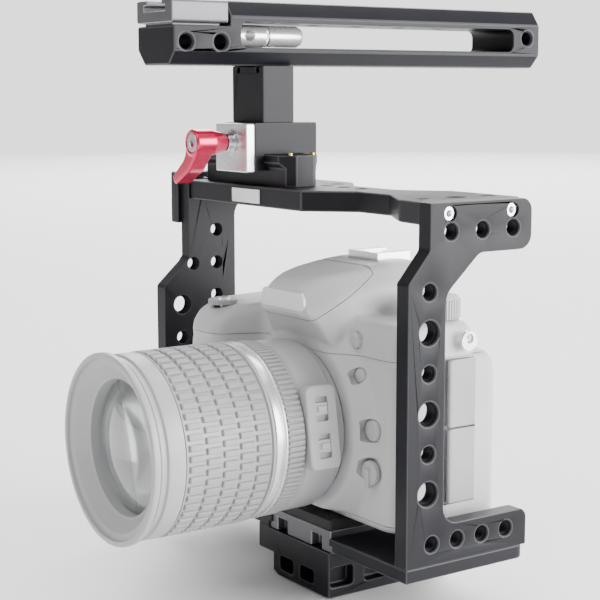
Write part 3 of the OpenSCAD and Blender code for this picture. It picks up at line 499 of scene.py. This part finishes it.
# How far the wall of a blind hole reaches along its axis, each side of the mount's point
THREAD_SPAN = {"tripod_socket": (-12, 0), "tripod_socket_large": (-12, 0)}
HANDLE_HOLES = [m for m in RECORD["mounts"] if m["name"].startswith("handle_top")]
for m in HANDLE_HOLES:
    THREAD_SPAN[m["name"]] = (-9.2, 0)
INCH = 25.4
QUARTER_PITCH = INCH / 20
THREE_EIGHTHS_PITCH = INCH / 16


def thread_liner(mount):
    """Thread ridges lining one threaded hole, as rings at the thread's pitch."""
    r = mount["dims"]["r_mm"]
    length = mount["dims"]["length_mm"]
    pitch = QUARTER_PITCH if r < 4 else THREE_EIGHTHS_PITCH
    depth = 0.55 * pitch
    axis = Vector(mount["axis"]).normalized()
    side = axis.orthogonal().normalized()
    up = axis.cross(side)
    middle = Vector(mount["pos_m"]) / MM
    lo, hi = THREAD_SPAN.get(mount["name"], (-length / 2, length / 2))
    turns = int((hi - lo - 0.8) / pitch)
    start = (lo + hi) / 2 - turns * pitch / 2
    profile = [(r + 0.02, start)]
    for k in range(turns):
        profile += [(r - 0.05, start + (k + 0.12) * pitch), (r - depth, start + (k + 0.5) * pitch),
                    (r - 0.05, start + (k + 0.88) * pitch)]
    profile.append((r + 0.02, start + turns * pitch))

    def point(radius, along, angle):
        return middle + axis * along + (side * math.cos(angle) + up * math.sin(angle)) * radius
    return lathe(profile, point, 40)


def threads():
    cage_holes = [m for m in RECORD["mounts"]
                  if m["kind"] == "threaded_hole" and m not in HANDLE_HOLES]
    for body, group in (("cage", cage_holes), ("handle", HANDLE_HOLES)):
        show(closed(body + "_threads", *[thread_liner(m) for m in group]), body,
             "black_anodised", smooth=50)


threads()

def lever():
    """A cast lever: a hub that narrows outwards, and a flat arm that bends down to its tip."""
    stud_lo, stud_hi = box_mm("clamp_stud")
    stud_x, stud_z = (stud_lo.x + stud_hi.x) / 2, (stud_lo.z + stud_hi.z) / 2
    y0, y1 = (corner.y for corner in box_mm("clamp_lever"))
    hub = [(0, y0 + 2.6), (4.2, y0 + 2.6), (4.2, y0 + 0.5), (4.7, y0), (5.6, y0 + 0.2),
           (6.1, y0 + 1.0), (6.1, y0 + 9.6), (4.1, y1 - 0.6), (3.9, y1), (0, y1)]
    outline = rounded([(-6.2, 2, 0.5), (-6.3, -6, 9), (-18.4, -15.4, 1.6), (-16.8, -19.6, 1.6),
                       (-4, -13, 12), (5.3, -3.2, 2)], 8)
    arm = slab([(stud_x + x, stud_z + z) for x, z in outline], y0 + 0.6, y0 + 9.4, facing_y, 0.8)
    obj = closed("clamp_lever_cast", lathe(hub, along_y(stud_x, stud_z), 64), arm)
    soften(obj, 0.3, 6)
    show(obj, "lever", "red_anodised", None, ("clamp_lever",), 0)
    obj.data.shade_smooth()


lever()


def diamond_knurl(r, start, end, point, around=36, rows=22):
    """A sleeve with a crossed knurl, closed at both ends."""
    verts, faces = [], []
    n = around * 2
    for i in range(rows + 1):
        along = start + (end - start) * i / rows
        for k in range(n):
            proud = r if (i + k) % 2 == 0 and 0 < i < rows else r - 0.35
            verts.append(point(proud, along, math.tau * k / n))
    for i in range(rows):
        for k in range(n):
            m = (k + 1) % n
            faces.append((i * n + k, i * n + m, (i + 1) * n + m, (i + 1) * n + k))
    faces.append(tuple(reversed(range(n))))
    faces.append(tuple(range(rows * n, (rows + 1) * n)))
    return verts, faces


def slot_screw():
    """The screw in the handle's slot: threaded end, knurled head with a cross hole, collar."""
    lo, hi = box_mm("accessory_screw")
    x, z = (lo.x + hi.x) / 2, (lo.z + hi.z) / 2
    point = along_y(x, z)
    slot_y = lo.y + 9.5          # the end of the handle's slot
    hole_y = slot_y + 11.5

    def across(r, along, angle):
        return (x + along, hole_y + r * math.cos(angle), z + r * math.sin(angle))
    head = closed("accessory_screw_head",
                  diamond_knurl(5.0, slot_y + 2.5, slot_y + 21.5, point))
    carve(head, "cross_hole", cylinder(2.6, -8, 8, across, 32))
    show(head, "slot_screw", "steel", "bright_ring", ("accessory_screw",), 20)
    collar = [(0, slot_y + 2), (4.3, slot_y + 2), (4.6, slot_y + 2.4), (4.6, slot_y + 2.6),
              (0, slot_y + 2.6)]
    shank = [(0, slot_y + 21.4), (4.3, slot_y + 21.4), (4.3, slot_y + 22), (4.8, slot_y + 22.4),
             (4.8, hi.y - 1.8), (4.0, hi.y), (0, hi.y)]
    thread = [(0, lo.y), (2.4, lo.y)]
    for k in range(8):
        thread += [(2.98, lo.y + 0.7 + QUARTER_PITCH * k), (2.4, lo.y + 1.3 + QUARTER_PITCH * k)]
    thread += [(2.4, slot_y + 2.1), (0, slot_y + 2.1)]
    show(closed("accessory_screw_shank", lathe(collar, point, 64), lathe(shank, point, 64),
                lathe(thread, point, 48)), "slot_screw", "steel", "bright_ring", (), 40)


slot_screw()


# ---- camera body ------------------------------------------------------------------------------

LENS_Z = 72.7                # the lens's axis
MOUNT_Y = -30                # the face of the lens mount
CAM_Y0 = -22                 # front of the body beside the mount
GRIP_REACH = 22              # how far the grip stands in front of that
CAM_X0, CAM_X1 = (corner.x for corner in box_mm("camera_front_shell"))
CAM_Y1 = box_mm("camera_rear_shell")[1].y
CAM_Z = box_mm("camera_bottom_cover")[0].z
COVER_Z = CAM_Z + 3.5        # the seam over the bottom cover
SEAM_Z = box_mm("camera_top_cover")[0].z
SPLIT_Y = box_mm("camera_front_shell")[1].y
SHOULDER_Z = LENS_Z + 46.8   # top of the body beside the hump
SEAM = 0.12                  # half the gap between two covers
FLASH_BACK_Y = -5.2
FLASH_LIFT = math.radians(40)
REAR_KEYS = [(46, 48 + 11 * i) for i in range(4)]
UP = (0, 0, 1)
DOWN = (0, 0, -1)
FORWARD = (0, -1, 0)
BACK = (0, 1, 0)


def body_ring(z, inset, rear=None, lean=0.0, droop=0.0):
    """One outline of the camera body; droop lowers it towards the front of the grip."""
    y1 = (CAM_Y1 if rear is None else rear) - inset
    front = CAM_Y0 - GRIP_REACH + inset + lean
    points = [(CAM_X0 + inset, front, 12), (-46.5 - inset * 0.5, front, 10),
              (-37 - inset * 0.5, CAM_Y0 + inset, 5), (CAM_X1 - inset, CAM_Y0 + inset, 9),
              (CAM_X1 - inset, y1, 4.5), (CAM_X0 + inset, y1, 9)]
    return [(x, y, z - droop * max(0, -16 - y)) for x, y in rounded(points, 8)]


def hump_ring(y, low, high, half):
    """One outline of the viewfinder hump: its foot, its crown and half its width."""
    points = [(-half - 1, low, 2), (half + 1, low, 2), (half - 0.5, high - 9, 9),
              (half - 7, high, 6), (-half + 7, high, 6), (-half + 0.5, high - 9, 9)]
    return [(x, y, z) for x, z in rounded(points, 6)]


def ring_y(y, r, count=64):
    """A circle round the lens's axis."""
    return [(r * math.cos(t), y, LENS_Z + r * math.sin(t))
            for t in (math.tau * k / count for k in range(count))]


def mount_collar():
    """The swelling behind the lens mount, kept off the body's top and foot."""
    obj = closed("collar", loft([ring_y(y, r) for y, r in (
        (-10, 49), (-21.0, 47), (-23.5, 44.0), (-26.5, 41.0), (-28.6, 39.2), (-29.3, 38.2))]))
    limits = closed("limits", plain_block(-44, 44, CAM_Z + 4, SEAM_Z + 6, -60, 20, facing_y, 1))
    keep = obj.modifiers.new("keep", "BOOLEAN")
    keep.operation = "INTERSECT"
    keep.object = limits
    apply_modifiers(obj)
    drop(limits)
    return obj


def camera_blob():
    """The whole outer shape of the body as one smooth skin."""
    lower = [body_ring(z, inset) for z, inset in (
        (CAM_Z, 3.4), (CAM_Z + 0.5, 1.8), (CAM_Z + 1.6, 0.8), (CAM_Z + 3.5, 0.3),
        (CAM_Z + 8, 0.2), (SEAM_Z - 12, 0.2), (SEAM_Z - 4, 0.6), (SEAM_Z - 0.5, 2.2),
        (SEAM_Z + 1.5, 5))]
    upper = [body_ring(z, inset, 20, lean, droop) for z, inset, lean, droop in (
        (SEAM_Z - 8, 1.5, 0, 0), (SEAM_Z, 0.5, 0, 0), (SEAM_Z + 5, 0.4, 1, 0.04),
        (SHOULDER_Z - 4, 0.9, 3, 0.12), (SHOULDER_Z - 1.4, 2.0, 4.5, 0.16),
        (SHOULDER_Z - 0.1, 4.5, 6.5, 0.17))]
    hump = [hump_ring(y, low, high, half) for y, low, high, half in (
        (-37.9, 121.5, 129.6, 17.0), (-37.2, 120.2, 131.4, 18.2), (-33, 116, 134.0, 19.5),
        (-28, 108, 135.8, 21.5), (-20, 100, 137.4, 23.6), (-8, 100, 139.2, 25.0),
        (4, 100, 140.4, 25.6), (18, 100, 140.4, 25.6), (24, 100, 137.6, 25.0),
        (29.6, 101, 130.5, 23.5), (30.9, 103, 124, 22))]
    obj = closed("camera_blob", loft(lower), loft(upper), loft(hump))
    collar = mount_collar()
    mesh = bmesh.new()
    mesh.from_mesh(obj.data)
    mesh.from_mesh(collar.data)
    mesh.to_mesh(obj.data)
    mesh.free()
    drop(collar)
    return soften(obj, 0.85, 8)


def sliced(source, name, cuts):
    """The part of a skin inside some planes, capped. Each cut is (place, direction to drop)."""
    bm = bmesh.new()
    bm.from_mesh(source.data)
    for place, away in cuts:
        geom = bm.verts[:] + bm.edges[:] + bm.faces[:]
        cut = bmesh.ops.bisect_plane(bm, geom=geom, plane_co=Vector(place) * MM,
                                     plane_no=Vector(away).normalized(), clear_outer=True)
        edges = [e for e in cut["geom_cut"] if isinstance(e, bmesh.types.BMEdge)]
        bmesh.ops.edgeloop_fill(bm, edges=edges)
    bmesh.ops.triangulate(bm, faces=[f for f in bm.faces if len(f.verts) > 4])
    mesh = bpy.data.meshes.new(name)
    bm.to_mesh(mesh)
    bm.free()
    return link_mesh(name, mesh)


PIECE_NAME = {
    "camera_bottom_cover": "bottom_cover", "camera_front_shell": "front_shell",
    "camera_rear_shell": "rear_shell", "camera_top_cover": "top_cover",
    "flash_head": "flash_cover",
}


def covers_from(blob):
    """The five covers, cut from the skin along their seams. Keys are the CAD nodes."""
    flash_foot = Vector((0, -33, 119.8))
    flash_up = Vector((0, -15.6, 26.4)).normalized()
    hinge = next(j for j in RECORD["behaviour"]["joints"] if j["name"] == "flash_lift")
    flash_axis = Vector(hinge["pos_m"]) / MM
    lifted = Vector((0, math.cos(FLASH_LIFT), math.sin(FLASH_LIFT)))
    over_bottom = ((0, 0, COVER_Z + SEAM), DOWN)
    under_top = ((0, 0, SEAM_Z - SEAM), UP)
    cuts = {
        "camera_bottom_cover": [((0, 0, COVER_Z - SEAM), UP)],
        "camera_front_shell": [over_bottom, under_top, ((0, SPLIT_Y - SEAM, 0), BACK)],
        "camera_rear_shell": [over_bottom, under_top, ((0, SPLIT_Y + SEAM, 0), FORWARD)],
        "camera_top_cover": [((0, 0, SEAM_Z + SEAM), DOWN)],
        "flash_head": [(flash_foot + flash_up * 0.25, -flash_up),
                       ((0, FLASH_BACK_Y - 0.6, 0), BACK), (flash_axis + lifted * 2.1, lifted)],
    }
    covers = {node: sliced(blob, PIECE_NAME[node], planes) for node, planes in cuts.items()}
    drop(blob)
    return covers


def open_top_cover(cover):
    """Room in the top cover for the flash, the hot shoe, the flash button and the dials."""
    shoe_z = box_mm("hot_shoe")[0].z
    shutter, dial, key = (centre_of(n) for n in ("shutter_button", "mode_dial", "flash_button"))
    carve(cover, "flash_room", slab(
        [(-60, 103.8), (FLASH_BACK_Y, 136.2), (FLASH_BACK_Y, 150), (-60, 150)], -40, 40,
        facing_x, 0.01))
    carve(cover, "top_pockets",
          cylinder(4.2, SHOULDER_Z - 9, SHOULDER_Z + 3, upright(shutter.x, shutter.y)),
          plain_block(-10.6, 10.6, 4.3, 40, shoe_z - 0.05, 150, facing_z),
          cylinder(2.1, SHOULDER_Z - 5, SHOULDER_Z + 3, upright(dial.x, dial.y)),
          cylinder(3.45, CAM_Y0 - 4, CAM_Y0 + 7, along_y(key.x, key.z)))


def open_front_shell(shell):
    """The lens opening, the control pockets and the hollow for the mirror box."""
    bracket, release, chooser = (centre_of(n) for n in (
        "bracket_button", "lens_release_button", "focus_selector"))
    lens = along_y(0, LENS_Z)
    carve(shell, "front_pockets",
          cylinder(33.2, -40, -28.9, lens, 96),
          cylinder(3.45, -27, -15, along_y(bracket.x, bracket.z)),
          cylinder(4.9, -27, -16, along_y(release.x, release.z)),
          cylinder(5.4, -27, -21.4, along_y(chooser.x, chooser.z + 1.5)))
    carve(shell, "throat", cylinder(27.2, -31, -18, lens, 96))
    carve(shell, "chamber",
          plain_block(-22, 22, LENS_Z - 18, LENS_Z + 22, CAM_Y0 + 2.4, 30, facing_y))


def doorway():
    """Lowest and highest corner of the two port doors together."""
    return box_mm("port_door_lower")[0], box_mm("port_door_upper")[1]


def open_rear_shell(shell):
    """Pockets for the keys, the selector, the screen, the command dial and the doors."""
    selector = centre_of("rear_selector")
    command = centre_of("command_dial")
    screen_lo, screen_hi = box_mm("rear_screen")
    door_lo, door_hi = doorway()
    keys = [cylinder(3.25, CAM_Y1 - 5, CAM_Y1 + 3, along_y(x, z)) for x, z in REAR_KEYS]
    carve(shell, "rear_pockets", *keys,
          cylinder(7.25, CAM_Y1 - 5, CAM_Y1 + 3, along_y(selector.x, selector.z)),
          plain_block(screen_lo.x - 0.2, screen_hi.x + 0.2, screen_lo.z - 0.2, screen_hi.z + 0.2,
                      CAM_Y1 - 1.2, CAM_Y1 + 3, facing_y),
          plain_block(command.x - 7, command.x + 7, 93.9, 101.1, CAM_Y1 - 12, CAM_Y1 + 3,
                      facing_y),
          plain_block(door_lo.y - 0.3, door_hi.y + 0.4, door_lo.z - 0.4, door_hi.z + 0.4,
                      CAM_X1 - 2.4, CAM_X1 + 3, facing_x))
    carve(shell, "hollow", plain_block(-24, 24, LENS_Z - 20, LENS_Z + 24, 0, 20, facing_y))


def hinge_relief(shell):
    """Room for the doors' hinge, which lies on the seam between front and rear shells."""
    lo, hi = doorway()
    carve(shell, "hinge_relief", cylinder(2.7, lo.z - 0.5, hi.z + 0.5, upright(58, 5.6)))


def camera_shells():
    covers = covers_from(camera_blob())
    open_top_cover(covers["camera_top_cover"])
    open_front_shell(covers["camera_front_shell"])
    open_rear_shell(covers["camera_rear_shell"])
    for node in ("camera_rear_shell", "camera_front_shell"):
        hinge_relief(covers[node])
    for node, obj in covers.items():
        show(obj, BODY_OF[node], SLOT_OF[node], None, (node,), 40)


camera_shells()


# ---- camera controls --------------------------------------------------------------------------

def plain_button(name, node, r, y_face, y_back, crown=0.5):
    """A round button with a soft rim and a slight crown; it faces away from y_back."""
    c = centre_of(node)
    step = 0.5 if y_back > y_face else -0.5
    profile = [(0, y_face - step * 0.2), (r * 0.55, y_face), (r - 0.7, y_face + step * crown),
               (r - 0.15, y_face + step * 1.6), (r, y_face + step * 2.6), (r, y_back), (0, y_back)]
    show(closed(name, lathe(profile, along_y(c.x, c.z), 48)), BODY_OF[node], SLOT_OF[node], None,
         (node,), 35)


def front_buttons():
    for node, r in (("flash_button", 3.2), ("bracket_button", 3.2), ("lens_release_button", 4.6)):
        face = box_mm(node)[0].y
        plain_button(node + "_cap", node, r, face, face + 6)


def rear_buttons():
    face = box_mm("rear_selector")[1].y
    plain_button("rear_selector_cap", "rear_selector", 7, face, face - 4)
    y = box_mm("rear_buttons")[1].y
    profile = [(0, y), (2.3, y - 0.1), (2.8, y - 0.5), (3.0, y - 1.2), (3.0, y - 4), (0, y - 4)]
    show(closed("rear_button_caps", *[lathe(profile, along_y(x, z), 40) for x, z in REAR_KEYS]),
         "rear_keys", "camera_controls", None, ("rear_buttons",), 35)


def shutter_button():
    lo, hi = box_mm("shutter_button")
    c = (lo + hi) / 2
    profile = [(0, lo.z), (1.4, lo.z), (1.4, hi.z - 2.4), (3.4, hi.z - 2.4), (3.8, hi.z - 2.0),
               (3.8, hi.z - 1.0), (3.4, hi.z - 0.4), (2.6, hi.z - 0.2), (1.4, hi.z - 0.5),
               (0, hi.z - 0.65)]
    show(closed("shutter_button_cap", lathe(profile, upright(c.x, c.y), 64)), "shutter",
         "camera_controls", "bright_ring", ("shutter_button",), 40)


def knurled(node, body, inner, root, tip, count, duty, ease):
    """A plain knurled ring in place of a CAD node that turns."""
    lo, hi = box_mm(node)
    c = (lo + hi) / 2
    ring = ribbed(inner, root, tip, lo.z, hi.z, count, upright(c.x, c.y), duty, ease)
    show(closed(node + "_knurled", ring), body, "camera_controls", None, (node,), 35)


def mode_dial():
    lo, hi = box_mm("mode_dial")
    c = (lo + hi) / 2
    point = upright(c.x, c.y)
    knurl = ribbed(1.0, 9.9, 10.4, SHOULDER_Z + 0.1, hi.z - 1.2, 48, point, 0.5, 0.5)
    top = lathe([(0, lo.z), (1.95, lo.z), (1.95, hi.z - 2), (9.6, hi.z - 2), (9.6, hi.z - 0.7),
                 (9.0, hi.z - 0.1), (0, hi.z)], point, 96)
    show(closed("mode_dial_knurled", knurl, top), "mode", "camera_controls", None,
         ("mode_dial",), 35)


def screen_glass():
    lo, hi = box_mm("rear_screen")
    outline = rounded([(lo.x + 4, lo.z + 3, 1.5), (hi.x - 4, lo.z + 3, 1.5),
                       (hi.x - 4, hi.z - 3, 1.5), (lo.x + 4, hi.z - 3, 1.5)])
    show(closed("screen_glass", slab(outline, hi.y - 0.2, hi.y + 0.15, facing_y, 0.1)), "camera",
         "screen", "screen")


def flash_window():
    lo = box_mm("flash_head")[0]
    outline = rounded([(-16.4, lo.z + 2.4, 2), (16.4, lo.z + 2.4, 2), (15.0, lo.z + 10.2, 2.5),
                       (-15.0, lo.z + 10.2, 2.5)])
    show(closed("flash_window", slab(outline, -38.0, -36.2, facing_y, 0.35)), "flash",
         "camera_shell", "window")


front_buttons()
rear_buttons()
shutter_button()
knurled("power_ring", "power", 3.9, 6.2, 6.6, 36, 0.45, 0.4)
mode_dial()
knurled("command_dial", "command", 0.8, 5.0, 5.4, 30, 0.5, 0.5)
bevelled("focus_selector", 0.4)
bevelled("rear_screen", 0.6, 3)
screen_glass()
flash_window()


# ---- lens -------------------------------------------------------------------------------------

def lens_point(r, along, angle):
    """Along is measured forward from the lens mount."""
    return (r * math.cos(angle), MOUNT_Y - along, LENS_Z + r * math.sin(angle))


def turned(name, outline, body, slot, material=None, replaces=(), count=160):
    """A part turned on the lens's axis, from (radius, along, corner radius) corners."""
    show(closed(name, lathe(rounded(outline, 3), lens_point, count)), body, slot, material,
         replaces, 30)


turned("lens_rear_barrel", [
    (31, 3, 0), (31, 0.2, 0), (34, 0.2, 0.4), (34.2, 2.8, 0.5), (36.0, 4.6, 0.8),
    (36.2, 19.0, 0.5), (35.4, 19.8, 0.3), (35.4, 20.3, 0.2), (33, 20.4, 0), (33, 29.4, 0),
    (36.4, 29.4, 0.25), (36.4, 30.3, 0.2), (35.8, 30.5, 0.1), (35.8, 31.0, 0.1),
    (36.4, 31.2, 0.2), (36.4, 35, 0.25), (33, 35, 0), (33, 73.5, 0), (31, 73.5, 0)],
    "camera", "lens_shell", None, ("lens_barrel",))
turned("lens_mount_tube", [(22, -5, 0), (26.8, -5, 0.4), (26.8, 0.3, 0), (31.2, 0.3, 0),
                           (31.2, 4, 0), (22, 4, 0)], "camera", "lens_shell", "dark_steel")
turned("lens_bright_ring", [(35.9, 29.45, 0.2), (37, 29.45, 0.3), (37, 30.3, 0.25),
                            (36.3, 30.5, 0), (36.3, 31.0, 0), (37, 31.2, 0.25), (37, 34.9, 0.3),
                            (35.9, 34.9, 0.2)], "camera", "lens_shell", "bright_ring")
show(closed("focus_ring_ribbed", ribbed(33.1, 35.9, 36.8, 20.8, 29.0, 100, lens_point, 0.45, 0.5)),
     "focus", "grey_rubber", None, ("focus_ring",), 35)
turned("zoom_ring_base", [(33.1, 35.3, 0), (37.2, 35.3, 0.3), (37.3, 36.5, 0.2), (36.3, 36.8, 0.2),
                          (36.3, 75.2, 0.2), (37.3, 75.6, 0.1), (37.3, 76, 0), (33.1, 76, 0)],
       "zoom", "grey_rubber", "lens_shell", ("zoom_ring",))


def rubber_blocks():
    """Brick-like blocks of the zoom ring's rubber, in columns that step by half a block."""
    columns, around = 5, 56
    start, end, gap = 37.0, 75.0, 1.5
    pitch = (end - start) / columns
    step = math.tau / around
    made = []
    for c in range(columns):
        a0 = start + c * pitch + gap / 2
        a1 = start + (c + 1) * pitch - gap / 2
        for k in range(around):
            t0 = (k + (c % 2) / 2) * step
            width = step * 0.62
            rows = [(36.2, 0.0, 0.0), (37.15, 0.0, 0.0), (37.5, 0.35, 0.14)]
            verts = []
            for r, ease, turn in rows:
                for along, t in ((a0 + ease, t0 + turn * width), (a1 - ease, t0 + turn * width),
                                 (a1 - ease, t0 + width * (1 - turn)),
                                 (a0 + ease, t0 + width * (1 - turn))):
                    verts.append(lens_point(r, along, t))
            faces = [(0, 1, 2, 3), (8, 11, 10, 9)]
            for low in (0, 4):
                for n in range(4):
                    m = (n + 1) % 4
                    faces.append((low + n, low + m, low + 4 + m, low + 4 + n))
            made.append((verts, faces))
    return made


show(closed("zoom_ring_rubber", *rubber_blocks()), "zoom", "grey_rubber", None, (), 30)
RIM = 91                     # the front edge of the lens
turned("front_barrel_shell", [
    (28.4, 31, 0), (30.9, 31, 0), (30.9, 76.3, 0), (37.3, 76.3, 0.3), (37.3, 83.6, 0.4),
    (36.4, 84.2, 0.2), (36.4, 85.9, 0.2), (37.2, 86.0, 0.15), (37.2, 86.8, 0.15),
    (36.9, 87.0, 0.1), (36.9, 88.0, 0.1), (38.5, 88.2, 0.3), (38.5, RIM - 0.2, 0.7),
    (36.2, RIM - 0.2, 0.3), (36.0, RIM - 1.6, 0.2), (33.4, RIM - 2.2, 0.6), (28.6, 84.6, 0.6),
    (27.5, 84.2, 0.3), (27.4, 76.6, 0), (28.4, 76.6, 0)], "front", "lens_shell", None,
    ("front_barrel",), 192)


def front_element():
    """The front glass: a domed front over a shallow back."""
    dome, glass_r, rim = 62.0, 27.35, 79.5
    centre = rim - math.sqrt(dome ** 2 - glass_r ** 2)
    steps = 16
    front = []
    for k in range(steps + 1):
        r = glass_r * (steps - k) / steps
        front.append((r, centre + math.sqrt(dome ** 2 - r ** 2)))
    back = [(glass_r * k / 12, 74.0 + 3.2 * (k / 12) ** 2) for k in range(13)]
    show(closed("front_element", lathe(back + front, lens_point, 128)), "front", "lens_glass",
         None, ("lens_glass",), 50)


front_element()
PANEL_TURN = math.radians(9)     # how far the panel sits above the lens's side


def on_panel(y, z, x):
    """A place on the switch panel, which sits a little above the lens's side."""
    return (x * math.cos(PANEL_TURN) - z * math.sin(PANEL_TURN), y,
            LENS_Z + x * math.sin(PANEL_TURN) + z * math.cos(PANEL_TURN))


def switch_panel():
    """The raised panel on the lens's side, with two pockets for the slide switches."""
    y0, y1 = MOUNT_Y - 20.2, MOUNT_Y - 5.6
    points = rounded([(y0, -17, 3), (y1, -17, 3), (y1, 17, 3), (y0, 17, 3)])
    obj = closed("lens_switch_panel", slab(points, 33.0, 38, on_panel, 0.5))
    pockets = []
    for z in (7.5, -7.5):
        around = rounded([(y0 + 4.2, z - 5, 0.8), (y1 - 4.4, z - 5, 0.8), (y1 - 4.4, z + 5, 0.8),
                          (y0 + 4.2, z + 5, 0.8)])
        pockets.append(slab(around, 36.4, 39, on_panel, 0.05))
    carve(obj, "switch_pockets", *pockets)
    show(obj, "camera", "lens_shell")


switch_panel()
for node in ("autofocus_switch", "stabiliser_switch"):
    bevelled(node, 0.25)


# ---- floor, lights and camera -----------------------------------------------------------------

def studio_floor():
    """A plain round floor, in metres, just under the base block."""
    bpy.ops.mesh.primitive_circle_add(vertices=96, radius=4.5, fill_type="NGON",
                                      location=(0, 0, -0.0003))
    floor = bpy.context.object
    floor.name = "floor"
    floor.data.materials.append(surface("floor", (0.93, 0.93, 0.93), 0, (0.7, 0.8), 0.01, 0.5,
                                        0.001))


def studio_sky():
    """A white surround that darkens overhead and on the lens's side."""
    world = bpy.data.worlds.new("studio")
    bpy.context.scene.world = world
    world.use_nodes = True
    sky = world.node_tree
    place = sky.nodes.new("ShaderNodeTexCoord")
    split = sky.nodes.new("ShaderNodeSeparateXYZ")
    ramp = sky.nodes.new("ShaderNodeValToRGB")
    low, high = ramp.color_ramp.elements
    low.position, low.color = 0.12, (1, 1, 1, 1)
    high.position, high.color = 0.75, (0.16, 0.16, 0.16, 1)
    sky.links.new(place.outputs["Generated"], split.inputs["Vector"])
    sky.links.new(split.outputs["Z"], ramp.inputs["Fac"])
    lens_side = spread(sky, split.outputs["Y"], 0, 1, -0.35, 0.3)
    dimmed = sky.nodes.new("ShaderNodeMix")
    dimmed.data_type = "RGBA"
    dimmed.inputs["A"].default_value = (0.2, 0.2, 0.2, 1)
    sky.links.new(lens_side, dimmed.inputs["Factor"])
    sky.links.new(ramp.outputs["Color"], dimmed.inputs["B"])
    sky.links.new(dimmed.outputs["Result"], sky.nodes["Background"].inputs["Color"])
    sky.nodes["Background"].inputs["Strength"].default_value = 2.0


def softbox(name, place, towards, size, power):
    """A soft light, placed and aimed in metres."""
    light = bpy.data.lights.new(name, "AREA")
    light.shape = "RECTANGLE"
    light.size, light.size_y = size
    light.energy = power
    obj = bpy.data.objects.new(name, light)
    obj.location = place
    obj.rotation_euler = (Vector(towards) - Vector(place)).to_track_quat("-Z", "Y").to_euler()
    bpy.context.scene.collection.objects.link(obj)


def photo_camera():
    """The view of the photograph. Angles in degrees: turn from +Y, pitch down, roll."""
    turn, pitch, roll = (math.radians(a) for a in (55.52, 8.1, -0.09))
    cam = bpy.data.objects.new("camera_view", bpy.data.cameras.new("camera_view"))
    bpy.context.scene.collection.objects.link(cam)
    bpy.context.scene.camera = cam
    cam.data.sensor_width = 36
    cam.data.lens = 88.48
    cam.data.clip_start, cam.data.clip_end = 0.02, 20
    forward = Vector((-math.sin(turn) * math.cos(pitch), math.cos(turn) * math.cos(pitch),
                      -math.sin(pitch)))
    cam.location = Vector((509.3, -378.4, 212.7)) * MM
    cam.rotation_mode = "QUATERNION"
    cam.rotation_quaternion = forward.to_track_quat("-Z", "Y") @ Matrix.Rotation(
        roll, 3, "Z").to_quaternion()


studio_floor()
studio_sky()
softbox("side", (1.0, 0.7, 0.3), (0, 0, 0.12), (1.1, 1.0), 50)
softbox("behind", (-2.2, 1.9, 2.2), (-1.8, 1.3, 0), (3.0, 3.0), 260)
softbox("front", (0.1, -1.0, 1.2), (0, 0, 0.12), (0.9, 0.9), 10)
softbox("above", (-0.1, 0.2, 1.3), (0, 0, 0.1), (1.2, 1.2), 7)
photo_camera()
